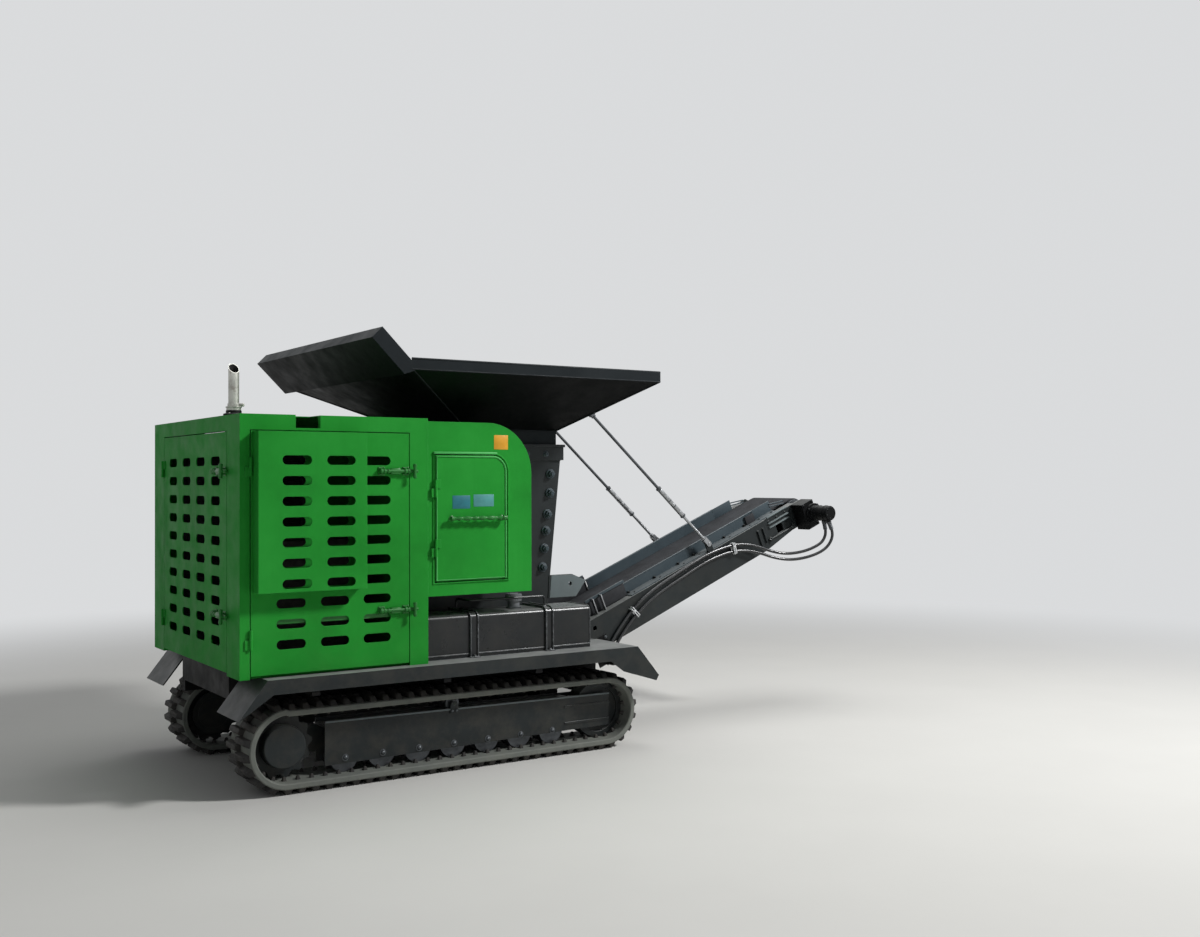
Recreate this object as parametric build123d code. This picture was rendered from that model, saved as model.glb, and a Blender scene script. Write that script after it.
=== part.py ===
from build123d import *
import math
import os

# Compact tracked jaw crusher. Lengths in millimetres, angles in degrees.
# While modelling, X runs forward from the rear face of the engine housing, Y across from the
# centre plane (the near side is -Y) and Z up from the ground. The last section moves
# everything along X so that the origin is the centre of the footprint.

# Clearances
seat_gap = 0.3
run_gap = 0.5
door_gap = 5
jaw_side_gap = 2

# Tracks
belt_centre = 569
belt_width = 300
belt_thick = 30
lug_height = 28
lug_count = 70
lug_root = 40
lug_tip = 26
sprocket_x = 263
idler_x = 2165
sprocket_belt_r = 200
idler_belt_r = 192
roller_r = 77
roller_first_x = 589
roller_pitch = 208
roller_count = 7
carrier_x = 1211
carrier_r = 40
roller_pin_r = 14
roller_side_gap = 6
roller_groove_half = 14
roller_groove_depth = 16
carrier_gap = 1
carrier_groove_half = 20
carrier_axle_r = 16
carrier_post_half_x = 18
carrier_post_half_y = 15
idler_side_gap = 8
idler_rim = 30
idler_recess = 18
idler_axle_r = 32
tooth_count = 13
tooth_height = 22
tooth_half = 15
drive_cover_r = 110
drive_cover_reach = 90
drive_cover_edge_r = 8
drive_motor_r = 88

# Share of a sprocket tooth's pitch and share of its height, once round a tooth
tooth_outline = ((0, 0), (0.3, 1), (0.5, 1), (0.8, 0))

# Track frames
track_plate = 12
track_plate_half_gap = 58
track_frame_rear_x = 479
track_frame_front_x = 2225
track_frame_low = 104
track_frame_low_front = 126
track_frame_top = 331
track_frame_top_front = 313
drive_arm_half = 70
drive_arm_lap = 40
drive_ring_r = 119
lid_thick = 12
lid_drop = 22
lid_front_gap = 12
rib_rear_x = 1920
rib_heights = (164, 258)
rib_half = 5
rib_proud = 6

# Chassis
rail_inner = 362
rail_thick = 46
rail_low = 390
deck_top = 595
rail_rear_x = 60
rail_front_x = 2290
cross_tube = 120
cross_low = 255
cross_top = 372
rear_cross_x = 760
front_cross_x = 1900
under_cross_x = 2220
under_cross_low = 285
under_cross_half = 40
under_cross_height = 70
end_cross_half = 25
end_cross_low = 450
end_cross_inset = 25
crusher_cross_setback = 60
engine_bed_depth = 65
engine_bed_width = 60
engine_bed_inset = 60
pivot_ear_half = 60
pivot_ear_drop = 45
pivot_ear_lap = 60

# Decks over the tracks
deck_plate = 6
deck_outer = 830
deck_inner = 410
deck_rear_x = 115
deck_front_x = 2302
deck_flange = 72
deck_end_inner = 493
deck_rear_tip_x = -28
deck_rear_tip_z = 410
deck_front_tip_x = 2452
deck_front_tip_z = 418
deck_front_knee_x = 2205
deck_front_knee_z = 458
deck_low_rear_x = 145
deck_low_front_x = 2115
deck_tip_back = 18
deck_tip_drop = 30
deck_end_run = 9
bracket_places = (360, 1080, 1640, 2150)
bracket_thick = 40
bracket_depth = 90

# Engine housing
house_length = 1000
house_half = 760
house_top = 1880
panel = 30
skin = 5
side_door_x0 = 55
side_door_x1 = 890
side_door_top = 1798
door_low = 610
sill_height = 60
sill_thick = 38
sill_gap = 4
rear_door_half = 560
slot_length = 150
slot_height = 46
slot_pitch_z = 100.4
slot_low_z = 752
slot_rows = 10
slot_first_x = 257
slot_pitch_x = 227.5
slot_columns = 3
rear_slot_pitch_y = 253
rear_slot_columns = 4
notch_x0 = 280
notch_x1 = 408
notch_low = 1815
notch_depth = 110

# Slotted guard on the near side door
guard_x0 = 64
guard_x1 = 621
guard_low = 1014
guard_top = 1795
guard_depth = 84
guard_rows = 7

# Covers beside the crusher
cover_front_x = 1630
cover_low = 945
cover_top = 1865
cover_inner = 400
cover_corner_r = 270
cover_skin = 12
small_door_x0 = 1041
small_door_x1 = 1471
small_door_low = 1022
small_door_top = 1688
small_door_corner_r = 85
small_door_proud = 6
small_door_depth = 24

# Hinges, latches and handles
knuckle_r = 8
knuckle_length = 46
leaf_thick = 6
leaf_reach = 28
small_leaf_reach = 24
guard_leaf_reach = 8
hinge_inset = 130
latch_r = 8
latch_on_door = 176
latch_on_frame = 43
latch_z_low = 888
latch_z_high = 1603
latch_pad_length = 30
latch_pad_half = 16
latch_grip = 24
latch_grip_reach = 36
handle_r = 9
handle_length = 345
handle_edge = 13
handle_z = 1353
handle_standoff = 28
handle_post_r = 7
handle_post_inset = 20

# Exhaust
exhaust_x = 62
exhaust_y = -480
exhaust_r = 26.5
exhaust_wall = 3
exhaust_height = 265
exhaust_flange_r = 50
exhaust_flange = 10
exhaust_collar_r = 36
exhaust_collar = 45
exhaust_slant = 45

# Engine block
engine_x0 = 250
engine_x1 = 850
engine_half = 250
engine_height = 640

# Tanks beside the conveyor
tank_x0 = 1010
tank_x1 = 2072
tank_outer = 678
tank_inner = 424
tank_top = 833
tank_edge_r = 28
strap_width = 50
strap_thick = 5
strap_rear_x = 1313
strap_front_x = 1792
cap_x = 1640
cap_y = 545
cap_r = 46
cap_height = 78
cap_lid = 36
cap_neck_r = 34

# Crusher
jaw_half = 330
jaw_plate = 25
jaw_rear_x = 1150
jaw_front_x = 2089
jaw_foot_front_x = 1980
jaw_low = 640
jaw_top = 1760
jaw_band_low = 1675
jaw_band_proud = 15
shaft_x = 1310
shaft_z = 1420
shaft_r = 45
wheel_r = 280
wheel_width = 90
wheel_centre_y = 520
wheel_rim = 50
wheel_web = 24
hub_r = 80
shaft_end = 20
bearing_r = 105
bearing_proud = 60
inlet_x0 = 1450
inlet_x1 = 2060
inlet_gap = 5
jaw_foot = 100
jaw_foot_lap = 20
jaw_front_wall = 40
jaw_rear_wall_low = 1000
jaw_lid = 20
fixed_jaw_thick = 55
fixed_jaw_low = 700
fixed_jaw_top_gap = 5
swing_jaw_thick = 120
swing_jaw_top_x = 1420
swing_jaw_top_z = 1665
swing_jaw_low_x = 1800
swing_jaw_low_z = 720
swing_jaw_heel_z = 690
swing_jaw_back = 80
swing_jaw_back_low = 70

# Lashing ear on the front edge of each of the crusher's side plates
lash_ear_thick = 20
lash_ear_lap = 30
lash_ear_low = 850
lash_ear_foot_x = 2200
lash_ear_tip_x = 2273
lash_ear_tip_z = 947
lash_ear_top_x = 2172
lash_ear_top_z = 988
lash_hole_x = 2158
lash_hole_z = 931
lash_hole_r = 12

# Hopper
hopper_plate = 8
hopper_half = 863
hopper_rear_x = 862
hopper_front_x = 2445
hopper_rim_low = 2125
hopper_rim_top = 2180
hopper_neck_top = 1850
flap_knee_x = 818
flap_knee_z = 2098
flap_run = 178
flap_rim = 80
flap_lap = 12
neck_lap = 2

# Conveyor: u runs up the incline, w square to it, from the top edge of the beam
conveyor_angle = 22.6
conveyor_x = 2497
conveyor_z = 761
beam_half = 290
beam_depth = 200
beam_web = 10
beam_flange = 60
beam_flange_thick = 8
beam_tail_u = -1130
beam_head_u = 1700
head_plate_u = 1290
head_plate_depth = 165
head_plate_slope = 270
head_nose = 20
head_flange_back = 60
head_slot_u = 1460
head_slot_w = -104
head_slot = 60
drum_r = 90
drum_w = -90
head_drum_u = 1690
tail_drum_u = -1052
conveyor_belt_thick = 8
conveyor_belt_half = 200
drum_half = 225
drum_pin_r = 20
carry_roller_r = 28
carry_roller_first_u = -850
carry_roller_pitch = 500
carry_roller_count = 5
carry_axle_r = 10
tie_tube_r = 20
skirt_half = 205
skirt_thick = 6
skirt_foot_inset = 12
skirt_rear_u = 170
skirt_front_u = 1330
skirt_top_w = 75
pivot_u = -900
pivot_w = -100
pivot_r = 18
pivot_end_gap = 2
pivot_plate = 22
tie_hole_u = -167
tie_hole_w = -58
tie_hole_r = 15
tie_tube_places = (-700, -60, 350, 850, 1240)
motor_r = 50
motor_flange_r = 66
motor_flange = 14
motor_reach = 560
motor_mount_rear = 79
motor_mount_front = 26
motor_mount_top = 90
motor_mount_low = 92
motor_mount_reach = 400

# Stays between the hopper and the conveyor
stay_lug_u = 850
stay_lug_w = 52
stay_lug_thick = 12
stay_lug_half = 20
stay_lug_lap = 2
stay_eye_r = 24
stay_lug_hole_r = 14
stay_pin_r = 9
stay_top_x = 2320
stay_top_z = 1985
stay_rod_r = 9
stay_sleeve_r = 14
stay_split = 0.58
stay_sleeve_length = 260
stay_sleeve_floor = 10
stay_rod_in_sleeve = 120
stay_ear = 6
stay_ear_gap = 3
stay_ear_r = 18
stay_ear_length = 48
stay_ear_half = 16
stay_bridge = 14
stay_pin_end = 3

# Hoses and their ports
hose_r = 10
arc_share = 0.45
port_length = 40
port_wall = 4
port_plate = 4
port_plate_u0 = -230
port_plate_u1 = -110
port_plate_low = -300
port_plate_top = -120

# Derived sizes
belt_inner = belt_centre - belt_width / 2
belt_outer = belt_centre + belt_width / 2
sprocket_z = lug_height + sprocket_belt_r
idler_z = lug_height + idler_belt_r
lid_top = track_frame_top - lid_drop
roller_z = lug_height + belt_thick + roller_r + seat_gap
plate_outer = belt_centre + track_plate_half_gap + track_plate
plate_inner = belt_centre - track_plate_half_gap - track_plate
rail_outer = rail_inner + rail_thick
roof_low = house_top - panel
house_inner = house_half - panel
sill_end = house_inner - sill_thick - 2 * sill_gap

# A cutter runs 1 mm past the faces that it opens, or further where that is free.


def block(x0, x1, y0, y1, z0, z1):
    """Box between two corners."""
    middle = Pos((x0 + x1) / 2, (y0 + y1) / 2, (z0 + z1) / 2)
    return middle * Box(abs(x1 - x0), abs(y1 - y0), abs(z1 - z0))


def rod_y(x, z, r, y0, y1):
    """Cylinder across the machine."""
    return Pos(x, (y0 + y1) / 2, z) * Rot(90, 0, 0) * Cylinder(r, abs(y1 - y0))


def rod_z(x, y, r, z0, z1):
    """Upright cylinder."""
    return Pos(x, y, (z0 + z1) / 2) * Cylinder(r, z1 - z0)


def rod_between(start, end, r):
    """Cylinder from one point to another."""
    start, end = Vector(*start), Vector(*end)
    plane = Plane(origin=start, z_dir=end - start)
    return extrude(plane * Circle(r), amount=(end - start).length)


def slab(points, y0, y1):
    """Outline in X and Z, pushed across from y0 to y1."""
    outline = make_face(Polyline([(x, y0, z) for x, z in points], close=True))
    return extrude(outline, amount=abs(y1 - y0), dir=(0, 1 if y1 > y0 else -1, 0))


def far_side(shape):
    """The same piece on the far side of the centre plane."""
    return mirror(shape, about=Plane.XZ)


def both_sides(shape):
    return [shape, far_side(shape)]


def slot_cutter(x, z, y):
    """Round-ended slot through a side panel near the plane at y."""
    flat = slot_length - slot_height
    cut = block(x - flat / 2, x + flat / 2, y - panel, y + panel, z - slot_height / 2, z + slot_height / 2)
    for end in (-flat / 2, flat / 2):
        cut += rod_y(x + end, z, slot_height / 2, y - panel, y + panel)
    return cut


def incline(shape):
    """Place a conveyor piece, modelled level in u, y and w, on its incline."""
    return Pos(conveyor_x, 0, conveyor_z) * Rot(0, -conveyor_angle, 0) * shape


def incline_point(u, w):
    """X and Z of a point of the conveyor."""
    angle = math.radians(conveyor_angle)
    x = conveyor_x + u * math.cos(angle) - w * math.sin(angle)
    z = conveyor_z + u * math.sin(angle) + w * math.cos(angle)
    return x, z


def track_path(distance):
    """Point and outward direction on the outside of the belt, from below the sprocket."""
    lean = math.asin((sprocket_belt_r - idler_belt_r) / (idler_x - sprocket_x))
    bottom = idler_x - sprocket_x
    front = idler_belt_r * (math.pi - lean)
    top = bottom * math.cos(lean)
    if distance < bottom:
        return sprocket_x + distance, lug_height, 0, -1
    distance -= bottom
    if distance < front:
        turn = distance / idler_belt_r
        out_x, out_z = math.sin(turn), -math.cos(turn)
        return idler_x + idler_belt_r * out_x, idler_z + idler_belt_r * out_z, out_x, out_z
    distance -= front
    out_x, out_z = math.sin(math.pi - lean), -math.cos(math.pi - lean)
    if distance < top:
        start_x = idler_x + idler_belt_r * out_x
        start_z = idler_z + idler_belt_r * out_z
        return start_x - distance * out_z, start_z + distance * out_x, out_x, out_z
    turn = math.pi - lean + (distance - top) / sprocket_belt_r
    out_x, out_z = math.sin(turn), -math.cos(turn)
    return sprocket_x + sprocket_belt_r * out_x, sprocket_z + sprocket_belt_r * out_z, out_x, out_z


def track_length():
    lean = math.asin((sprocket_belt_r - idler_belt_r) / (idler_x - sprocket_x))
    straight = (idler_x - sprocket_x) * (1 + math.cos(lean))
    return straight + idler_belt_r * (math.pi - lean) + sprocket_belt_r * (math.pi + lean)


def track_belt():
    """One closed track with its lugs in the outline, near side."""
    pitch = track_length() / lug_count
    root, tip = lug_root / 2, lug_tip / 2
    outline = []
    for lug in range(lug_count):
        centre = lug * pitch
        for offset, height in ((-root, 0), (-tip, lug_height), (tip, lug_height), (root, 0)):
            x, z, out_x, out_z = track_path((centre + offset) % track_length())
            outline.append((x + out_x * height, z + out_z * height))
    solid = slab(outline, -belt_outer, -belt_inner)
    rear_r = sprocket_belt_r - belt_thick
    front_r = idler_belt_r - belt_thick
    inside = Polyline([(x, -belt_outer - 1, z) for x, z in inner_loop(rear_r, front_r)], close=True)
    return solid - extrude(make_face(inside), amount=belt_width + 2, dir=(0, 1, 0))


def inner_loop(rear_r, front_r):
    """Inside of the belt: two half circles in short chords, joined by the straight runs."""
    chords = 24
    reach = 1 / math.cos(math.pi / chords / 2)
    points = []
    for x, z, r, start in ((idler_x, idler_z, front_r, 0), (sprocket_x, sprocket_z, rear_r, math.pi)):
        for step in range(chords + 1):
            turn = start + math.pi * step / chords
            points.append((x + r * reach * math.sin(turn), z - r * reach * math.cos(turn)))
    return points


def sprocket():
    """Toothed drive wheel with its round drive cover, near side."""
    root_r = sprocket_belt_r - belt_thick - tooth_height
    outline = []
    for tooth in range(tooth_count):
        for share, height in tooth_outline:
            turn = 2 * math.pi * (tooth + share) / tooth_count
            r = root_r + height * (tooth_height - run_gap)
            outline.append((sprocket_x + r * math.sin(turn), sprocket_z - r * math.cos(turn)))
    wheel = slab(outline, -belt_centre - tooth_half, -belt_centre + tooth_half)
    cover = rod_y(sprocket_x, sprocket_z, drive_cover_r, -belt_centre - drive_cover_reach, -belt_centre)
    cover = fillet(cover.edges().group_by(Axis.Y)[0], drive_cover_edge_r)
    motor = rod_y(sprocket_x, sprocket_z, drive_motor_r, -belt_centre, -plate_inner)
    return wheel + cover + motor


def idler():
    """Front idler wheel with its axle, near side."""
    r = idler_belt_r - belt_thick - seat_gap
    half = track_plate_half_gap - idler_side_gap
    wheel = rod_y(idler_x, idler_z, r, -belt_centre - half, -belt_centre + half)
    for side in (-1, 1):
        face = -belt_centre + side * half
        wheel -= rod_y(idler_x, idler_z, r - idler_rim, face - side * idler_recess, face)
    axle_half = track_plate_half_gap
    return wheel + rod_y(idler_x, idler_z, idler_axle_r, -belt_centre - axle_half, -belt_centre + axle_half)


def rollers():
    """Bottom rollers with their pins, and the carrier roller on its post, near side."""
    half = track_plate_half_gap - roller_side_gap
    pin_half = track_plate_half_gap - seat_gap
    y = -belt_centre
    solids = []
    for index in range(roller_count):
        x = roller_first_x + index * roller_pitch
        roller = rod_y(x, roller_z, roller_r, y - half, y + half)
        roller -= rod_y(x, roller_z, roller_r + 1, y - roller_groove_half, y + roller_groove_half)
        roller += rod_y(x, roller_z, roller_r - roller_groove_depth, y - half, y + half)
        roller += rod_y(x, roller_z, roller_pin_r, y - pin_half, y + pin_half)
        solids.append(roller)
    run_share = (carrier_x - sprocket_x) / (idler_x - sprocket_x)
    run_rear = sprocket_z + sprocket_belt_r
    run_front = idler_z + idler_belt_r
    under_belt = run_rear + (run_front - run_rear) * run_share - belt_thick
    z = under_belt - carrier_r - carrier_gap
    carrier = rod_y(carrier_x, z, carrier_r, y - half, y + half)
    carrier -= rod_y(carrier_x, z, carrier_r + 1, y - carrier_groove_half, y + carrier_groove_half)
    carrier += rod_y(carrier_x, z, carrier_axle_r, y - half, y + half)
    carrier += block(carrier_x - carrier_post_half_x, carrier_x + carrier_post_half_x,
                     y - carrier_post_half_y, y + carrier_post_half_y, lid_top, z)
    solids.append(carrier)
    return solids


def track_frame():
    """Two side plates with a top plate and the arm that holds the drive, near side."""
    plate = [
        (track_frame_rear_x, track_frame_low),
        (track_frame_front_x, track_frame_low_front),
        (track_frame_front_x, track_frame_top_front),
        (track_frame_rear_x, track_frame_top),
    ]
    outer = slab(plate, -plate_outer, -plate_outer + track_plate)
    inner = slab(plate, -plate_inner - track_plate, -plate_inner)
    arm = block(sprocket_x, track_frame_rear_x + drive_arm_lap, -plate_inner - track_plate, -plate_inner,
                sprocket_z - drive_arm_half, sprocket_z + drive_arm_half)
    arm += rod_y(sprocket_x, sprocket_z, drive_ring_r, -plate_inner - track_plate, -plate_inner)
    arm -= rod_y(sprocket_x, sprocket_z, drive_motor_r, -plate_inner - 2 * track_plate, -plate_inner + 1)
    lid_front_x = idler_x - idler_belt_r - lid_front_gap
    lid = block(track_frame_rear_x, lid_front_x, -plate_outer + track_plate, -plate_inner - track_plate,
                lid_top - lid_thick, lid_top)
    frame = outer + inner + arm + lid
    for z in rib_heights:
        frame += block(rib_rear_x, track_frame_front_x, -plate_outer - rib_proud, -plate_outer,
                       z - rib_half, z + rib_half)
    return frame


def chassis_rails():
    rail = block(rail_rear_x, rail_front_x, -rail_outer, -rail_inner, rail_low, deck_top)
    return both_sides(rail)


def cross_members():
    """Tubes and beds between the rails and from them to the track frames."""
    tube = cross_tube / 2
    rear_tube = block(rear_cross_x - tube, rear_cross_x + tube, -plate_inner, plate_inner,
                      cross_low, cross_top)
    under_tube = block(under_cross_x - under_cross_half, under_cross_x + under_cross_half,
                       -rail_outer, rail_outer, under_cross_low, under_cross_low + under_cross_height)
    stubs = []
    for side in (-1, 1):
        rear_tube += block(rear_cross_x - tube, rear_cross_x + tube, side * rail_inner, side * rail_outer,
                           cross_low, rail_low)
        under_tube += block(under_cross_x - under_cross_half, under_cross_x + under_cross_half,
                            side * rail_inner, side * rail_outer, under_cross_low, rail_low)
        stub = block(front_cross_x - tube, front_cross_x + tube, side * rail_inner, side * plate_inner,
                     cross_low, cross_top)
        stub += block(front_cross_x - tube, front_cross_x + tube, side * rail_inner, side * rail_outer,
                      cross_low, rail_low)
        stubs.append(stub)
    beds = []
    for x in (engine_x0 + engine_bed_inset, engine_x1 - engine_bed_inset):
        beds.append(block(x - engine_bed_width / 2, x + engine_bed_width / 2, -rail_inner, rail_inner,
                          deck_top - engine_bed_depth, deck_top))
    for x in (rail_rear_x + end_cross_inset, jaw_rear_x - crusher_cross_setback):
        beds.append(block(x - end_cross_half, x + end_cross_half, -rail_inner, rail_inner,
                          end_cross_low, deck_top))
    return [rear_tube, under_tube] + stubs + beds


def deck_brackets():
    """Brackets from the rails out to the edges of the decks."""
    top = deck_top - deck_plate
    solids = []
    for x in bracket_places:
        bracket = block(x - bracket_thick / 2, x + bracket_thick / 2, -deck_outer + deck_plate, -rail_outer,
                        top - bracket_depth, top)
        solids += both_sides(bracket)
    return solids


def pivot_ears():
    """Plates inside the rails that hold the conveyor's pivot pins."""
    x, z = incline_point(pivot_u, pivot_w)
    ear = block(x - pivot_ear_half, x + pivot_ear_half, -rail_inner, -rail_inner + pivot_plate,
                z - pivot_ear_drop, rail_low + pivot_ear_lap)
    ear -= rod_y(x, z, pivot_r + run_gap, -rail_inner - 1, -rail_inner + pivot_plate + 1)
    return both_sides(ear)


def deck():
    """Deck plate with its sloping ends and outer flange, near side."""
    low = deck_top - deck_flange
    side = [
        (deck_rear_x, deck_top),
        (deck_rear_tip_x, deck_rear_tip_z),
        (deck_low_rear_x, low),
        (deck_low_front_x, low),
        (deck_front_knee_x, deck_front_knee_z),
        (deck_front_tip_x - deck_tip_back, deck_front_tip_z - deck_tip_drop),
        (deck_front_tip_x, deck_front_tip_z),
        (deck_front_x, deck_top),
    ]
    flange = slab(side, -deck_outer, -deck_outer + deck_plate)
    plate = block(deck_rear_x, deck_front_x, -deck_outer, -deck_inner, deck_top - deck_plate, deck_top)
    rear = [
        (deck_rear_x, deck_top),
        (deck_rear_tip_x, deck_rear_tip_z),
        (deck_rear_tip_x + deck_end_run, deck_rear_tip_z),
        (deck_rear_x + deck_plate, deck_top - deck_plate),
    ]
    front = [
        (deck_front_x, deck_top),
        (deck_front_tip_x, deck_front_tip_z),
        (deck_front_tip_x - deck_end_run, deck_front_tip_z),
        (deck_front_x - deck_plate, deck_top - deck_plate),
    ]
    ends = [slab(outline, -deck_outer, -deck_end_inner) for outline in (rear, front)]
    return flange + plate + ends


side_hinge_x = side_door_x0 - door_gap / 2
side_hinge_y = house_half + knuckle_r
small_hinge_x = small_door_x0 - door_gap / 2
small_hinge_y = house_half + small_door_proud + knuckle_r
rear_hinge_x = -knuckle_r
rear_hinge_y = rear_door_half + door_gap / 2


def hinge_heights(low, top):
    return low + hinge_inset, top - hinge_inset - 2 * knuckle_length


def side_frame():
    """Side wall of the housing round its door opening, near side."""
    wall = block(0, house_length, -house_half, -house_inner, deck_top, house_top)
    wall -= block(side_door_x0 - door_gap, side_door_x1 + door_gap, -house_half - 1, -house_inner + 1,
                  deck_top - 1, side_door_top + door_gap)
    wall -= block(notch_x0, notch_x1, -house_half - 1, -house_inner + 1, notch_low, house_top + 1)
    sill_outer = house_inner - sill_gap
    wall += block(panel + sill_gap, house_length - panel, -sill_outer, -sill_outer + sill_thick,
                  deck_top, deck_top + sill_height)
    wall += block(side_door_x1 + door_gap, house_length - panel, -house_inner, -sill_outer + sill_thick,
                  deck_top, deck_top + sill_height)
    for z in hinge_heights(door_low, side_door_top):
        barrel = rod_z(side_hinge_x, -side_hinge_y, knuckle_r, z, z + knuckle_length)
        leaf = block(side_hinge_x - leaf_reach, side_hinge_x, -house_half - leaf_thick, -house_half,
                     z, z + knuckle_length)
        wall += barrel + leaf
    return wall


def side_door():
    """Folded sheet door with three columns of slots, near side."""
    door = block(side_door_x0, side_door_x1, -house_half, -house_inner, door_low, side_door_top)
    door -= block(side_door_x0 + skin, side_door_x1 - skin, -house_half + skin, -house_inner + 1,
                  door_low + skin, side_door_top - skin)
    for column in range(slot_columns):
        for row in range(slot_rows):
            x = slot_first_x + column * slot_pitch_x
            door -= slot_cutter(x, slot_low_z + row * slot_pitch_z, -house_half)
    for z in hinge_heights(door_low, side_door_top):
        z_door = z + knuckle_length + run_gap
        barrel = rod_z(side_hinge_x, -side_hinge_y, knuckle_r, z_door, z_door + knuckle_length)
        leaf = block(side_hinge_x, side_door_x0 + guard_leaf_reach, -house_half - leaf_thick, -house_half,
                     z_door, z_door + knuckle_length)
        door += barrel + leaf
    return door


def door_guard():
    """Slotted box that stands out from the near side door."""
    outer = house_half + guard_depth
    guard = block(guard_x0, guard_x1, -outer, -house_half, guard_low, guard_top)
    guard -= block(guard_x0 + skin, guard_x1 - skin, -outer + skin, -house_half + 1,
                   guard_low + skin, guard_top - skin)
    for column in range(slot_columns - 1):
        for row in range(guard_rows):
            x = slot_first_x + column * slot_pitch_x
            z = slot_low_z + (slot_rows - 1 - row) * slot_pitch_z
            guard -= slot_cutter(x, z, -outer)
    return guard


def latch(edge, y, z):
    """Bolt latch across a door's edge: two pads on the door, the bar and its grip, near side."""
    start, end = edge - latch_on_door, edge + latch_on_frame
    bar_y = y - latch_r - door_gap
    shape = Pos((start + end) / 2, bar_y, z) * Rot(0, 90, 0) * Cylinder(latch_r, end - start)
    for x in (start, edge - door_gap - latch_pad_length):
        shape += block(x, x + latch_pad_length, bar_y, y, z - latch_pad_half, z + latch_pad_half)
    grip_x = edge - latch_on_door / 2
    return shape + block(grip_x - latch_grip / 2, grip_x + latch_grip / 2, y - latch_grip_reach, bar_y,
                         z - latch_r, z + latch_r)


def side_latches():
    edge = side_door_x1 + door_gap / 2
    return [latch(edge, -house_half, z) for z in (latch_z_low, latch_z_high)]


def rear_frame():
    """Rear wall of the housing round its door opening."""
    wall = block(0, panel, -house_inner, house_inner, deck_top, house_top)
    wall -= block(-1, panel + 1, -rear_door_half - door_gap, rear_door_half + door_gap,
                  deck_top - 1, side_door_top + door_gap)
    wall += block(panel + sill_gap, panel + sill_gap + sill_thick, -sill_end, sill_end,
                  deck_top, deck_top + sill_height)
    for side in (-1, 1):
        wall += block(panel, panel + sill_gap + sill_thick, side * (rear_door_half + door_gap),
                      side * sill_end, deck_top, deck_top + sill_height)
    for z in hinge_heights(door_low, side_door_top):
        wall += rod_z(rear_hinge_x, rear_hinge_y, knuckle_r, z, z + knuckle_length)
        wall += block(-leaf_thick, 0, rear_hinge_y, rear_hinge_y + leaf_reach, z, z + knuckle_length)
    return wall


def rear_door():
    """Folded sheet door across the rear, with four columns of slots."""
    door = block(0, panel, -rear_door_half, rear_door_half, door_low, side_door_top)
    door -= block(skin, panel + 1, -rear_door_half + skin, rear_door_half - skin,
                  door_low + skin, side_door_top - skin)
    cutter = Rot(0, 0, 90) * slot_cutter(0, 0, 0)
    for column in range(rear_slot_columns):
        y = (column - (rear_slot_columns - 1) / 2) * rear_slot_pitch_y
        for row in range(slot_rows):
            door -= Pos(0, y, slot_low_z + row * slot_pitch_z) * cutter
    for z in hinge_heights(door_low, side_door_top):
        z_door = z + knuckle_length + run_gap
        door += rod_z(rear_hinge_x, rear_hinge_y, knuckle_r, z_door, z_door + knuckle_length)
        door += block(-leaf_thick, 0, rear_door_half - leaf_reach, rear_hinge_y,
                      z_door, z_door + knuckle_length)
    return door


def rear_latches():
    edge = -rear_door_half - door_gap / 2
    piece = Rot(0, 0, -90) * latch(0, 0, 0)
    return [Pos(0, edge, z) * piece for z in (latch_z_low, latch_z_high)]


def roof():
    """Roof tray between the walls, with a pocket at each side notch."""
    tray = block(panel, house_length, -house_inner, house_inner, roof_low, house_top)
    tray -= block(panel + skin, house_length - skin, -house_inner + skin, house_inner - skin,
                  roof_low - 1, house_top - skin)
    for side in (-1, 1):
        tray -= block(notch_x0, notch_x1, side * (house_inner - notch_depth), side * (house_inner + 1),
                      roof_low - 1, house_top + 1)
    return tray


def bulkhead():
    """Wall between the engine and the crusher."""
    wall = block(house_length - panel, house_length, -house_inner, house_inner, deck_top, roof_low)
    wall -= block(house_length - panel - 1, house_length - skin, -house_inner + panel, house_inner - panel,
                  deck_top + panel, roof_low - panel)
    return wall


def cover_outline(inset):
    """Side outline of the cover, with its round top front corner."""
    r = cover_corner_r - inset
    front, top, low = cover_front_x - inset, cover_top - inset, cover_low + inset
    points = [(house_length, low), (front, low)]
    steps = 16
    for step in range(steps + 1):
        turn = math.pi / 2 * step / steps
        points.append((front - r + r * math.cos(turn), top - r + r * math.sin(turn)))
    points.append((house_length, top))
    return points


def small_door_shape(gap, y0, y1):
    """Door outline with one round corner, grown by a gap, pushed from y0 to y1."""
    x0, x1 = small_door_x0 - gap, small_door_x1 + gap
    z0, z1 = small_door_low - gap, small_door_top + gap
    r = small_door_corner_r + gap
    points = [(x0, z0), (x1, z0)]
    steps = 10
    for step in range(steps + 1):
        turn = math.pi / 2 * step / steps
        points.append((x1 - r + r * math.cos(turn), z1 - r + r * math.sin(turn)))
    points.append((x0, z1))
    return slab(points, y0, y1)


def cover():
    """Hollow cover over the flywheel, open towards the crusher, near side."""
    shell = slab(cover_outline(0), -house_half, -cover_inner)
    shell -= slab(cover_outline(cover_skin), -house_half + cover_skin, -cover_inner + 1)
    shell -= small_door_shape(door_gap, -house_half - 1, -house_half + cover_skin + 1)
    for z in hinge_heights(small_door_low, small_door_top):
        barrel = rod_z(small_hinge_x, -small_hinge_y, knuckle_r, z, z + knuckle_length)
        leaf = block(small_hinge_x - small_leaf_reach, small_hinge_x, -small_hinge_y, -house_half,
                     z, z + knuckle_length)
        shell += barrel + leaf
    return shell


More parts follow.
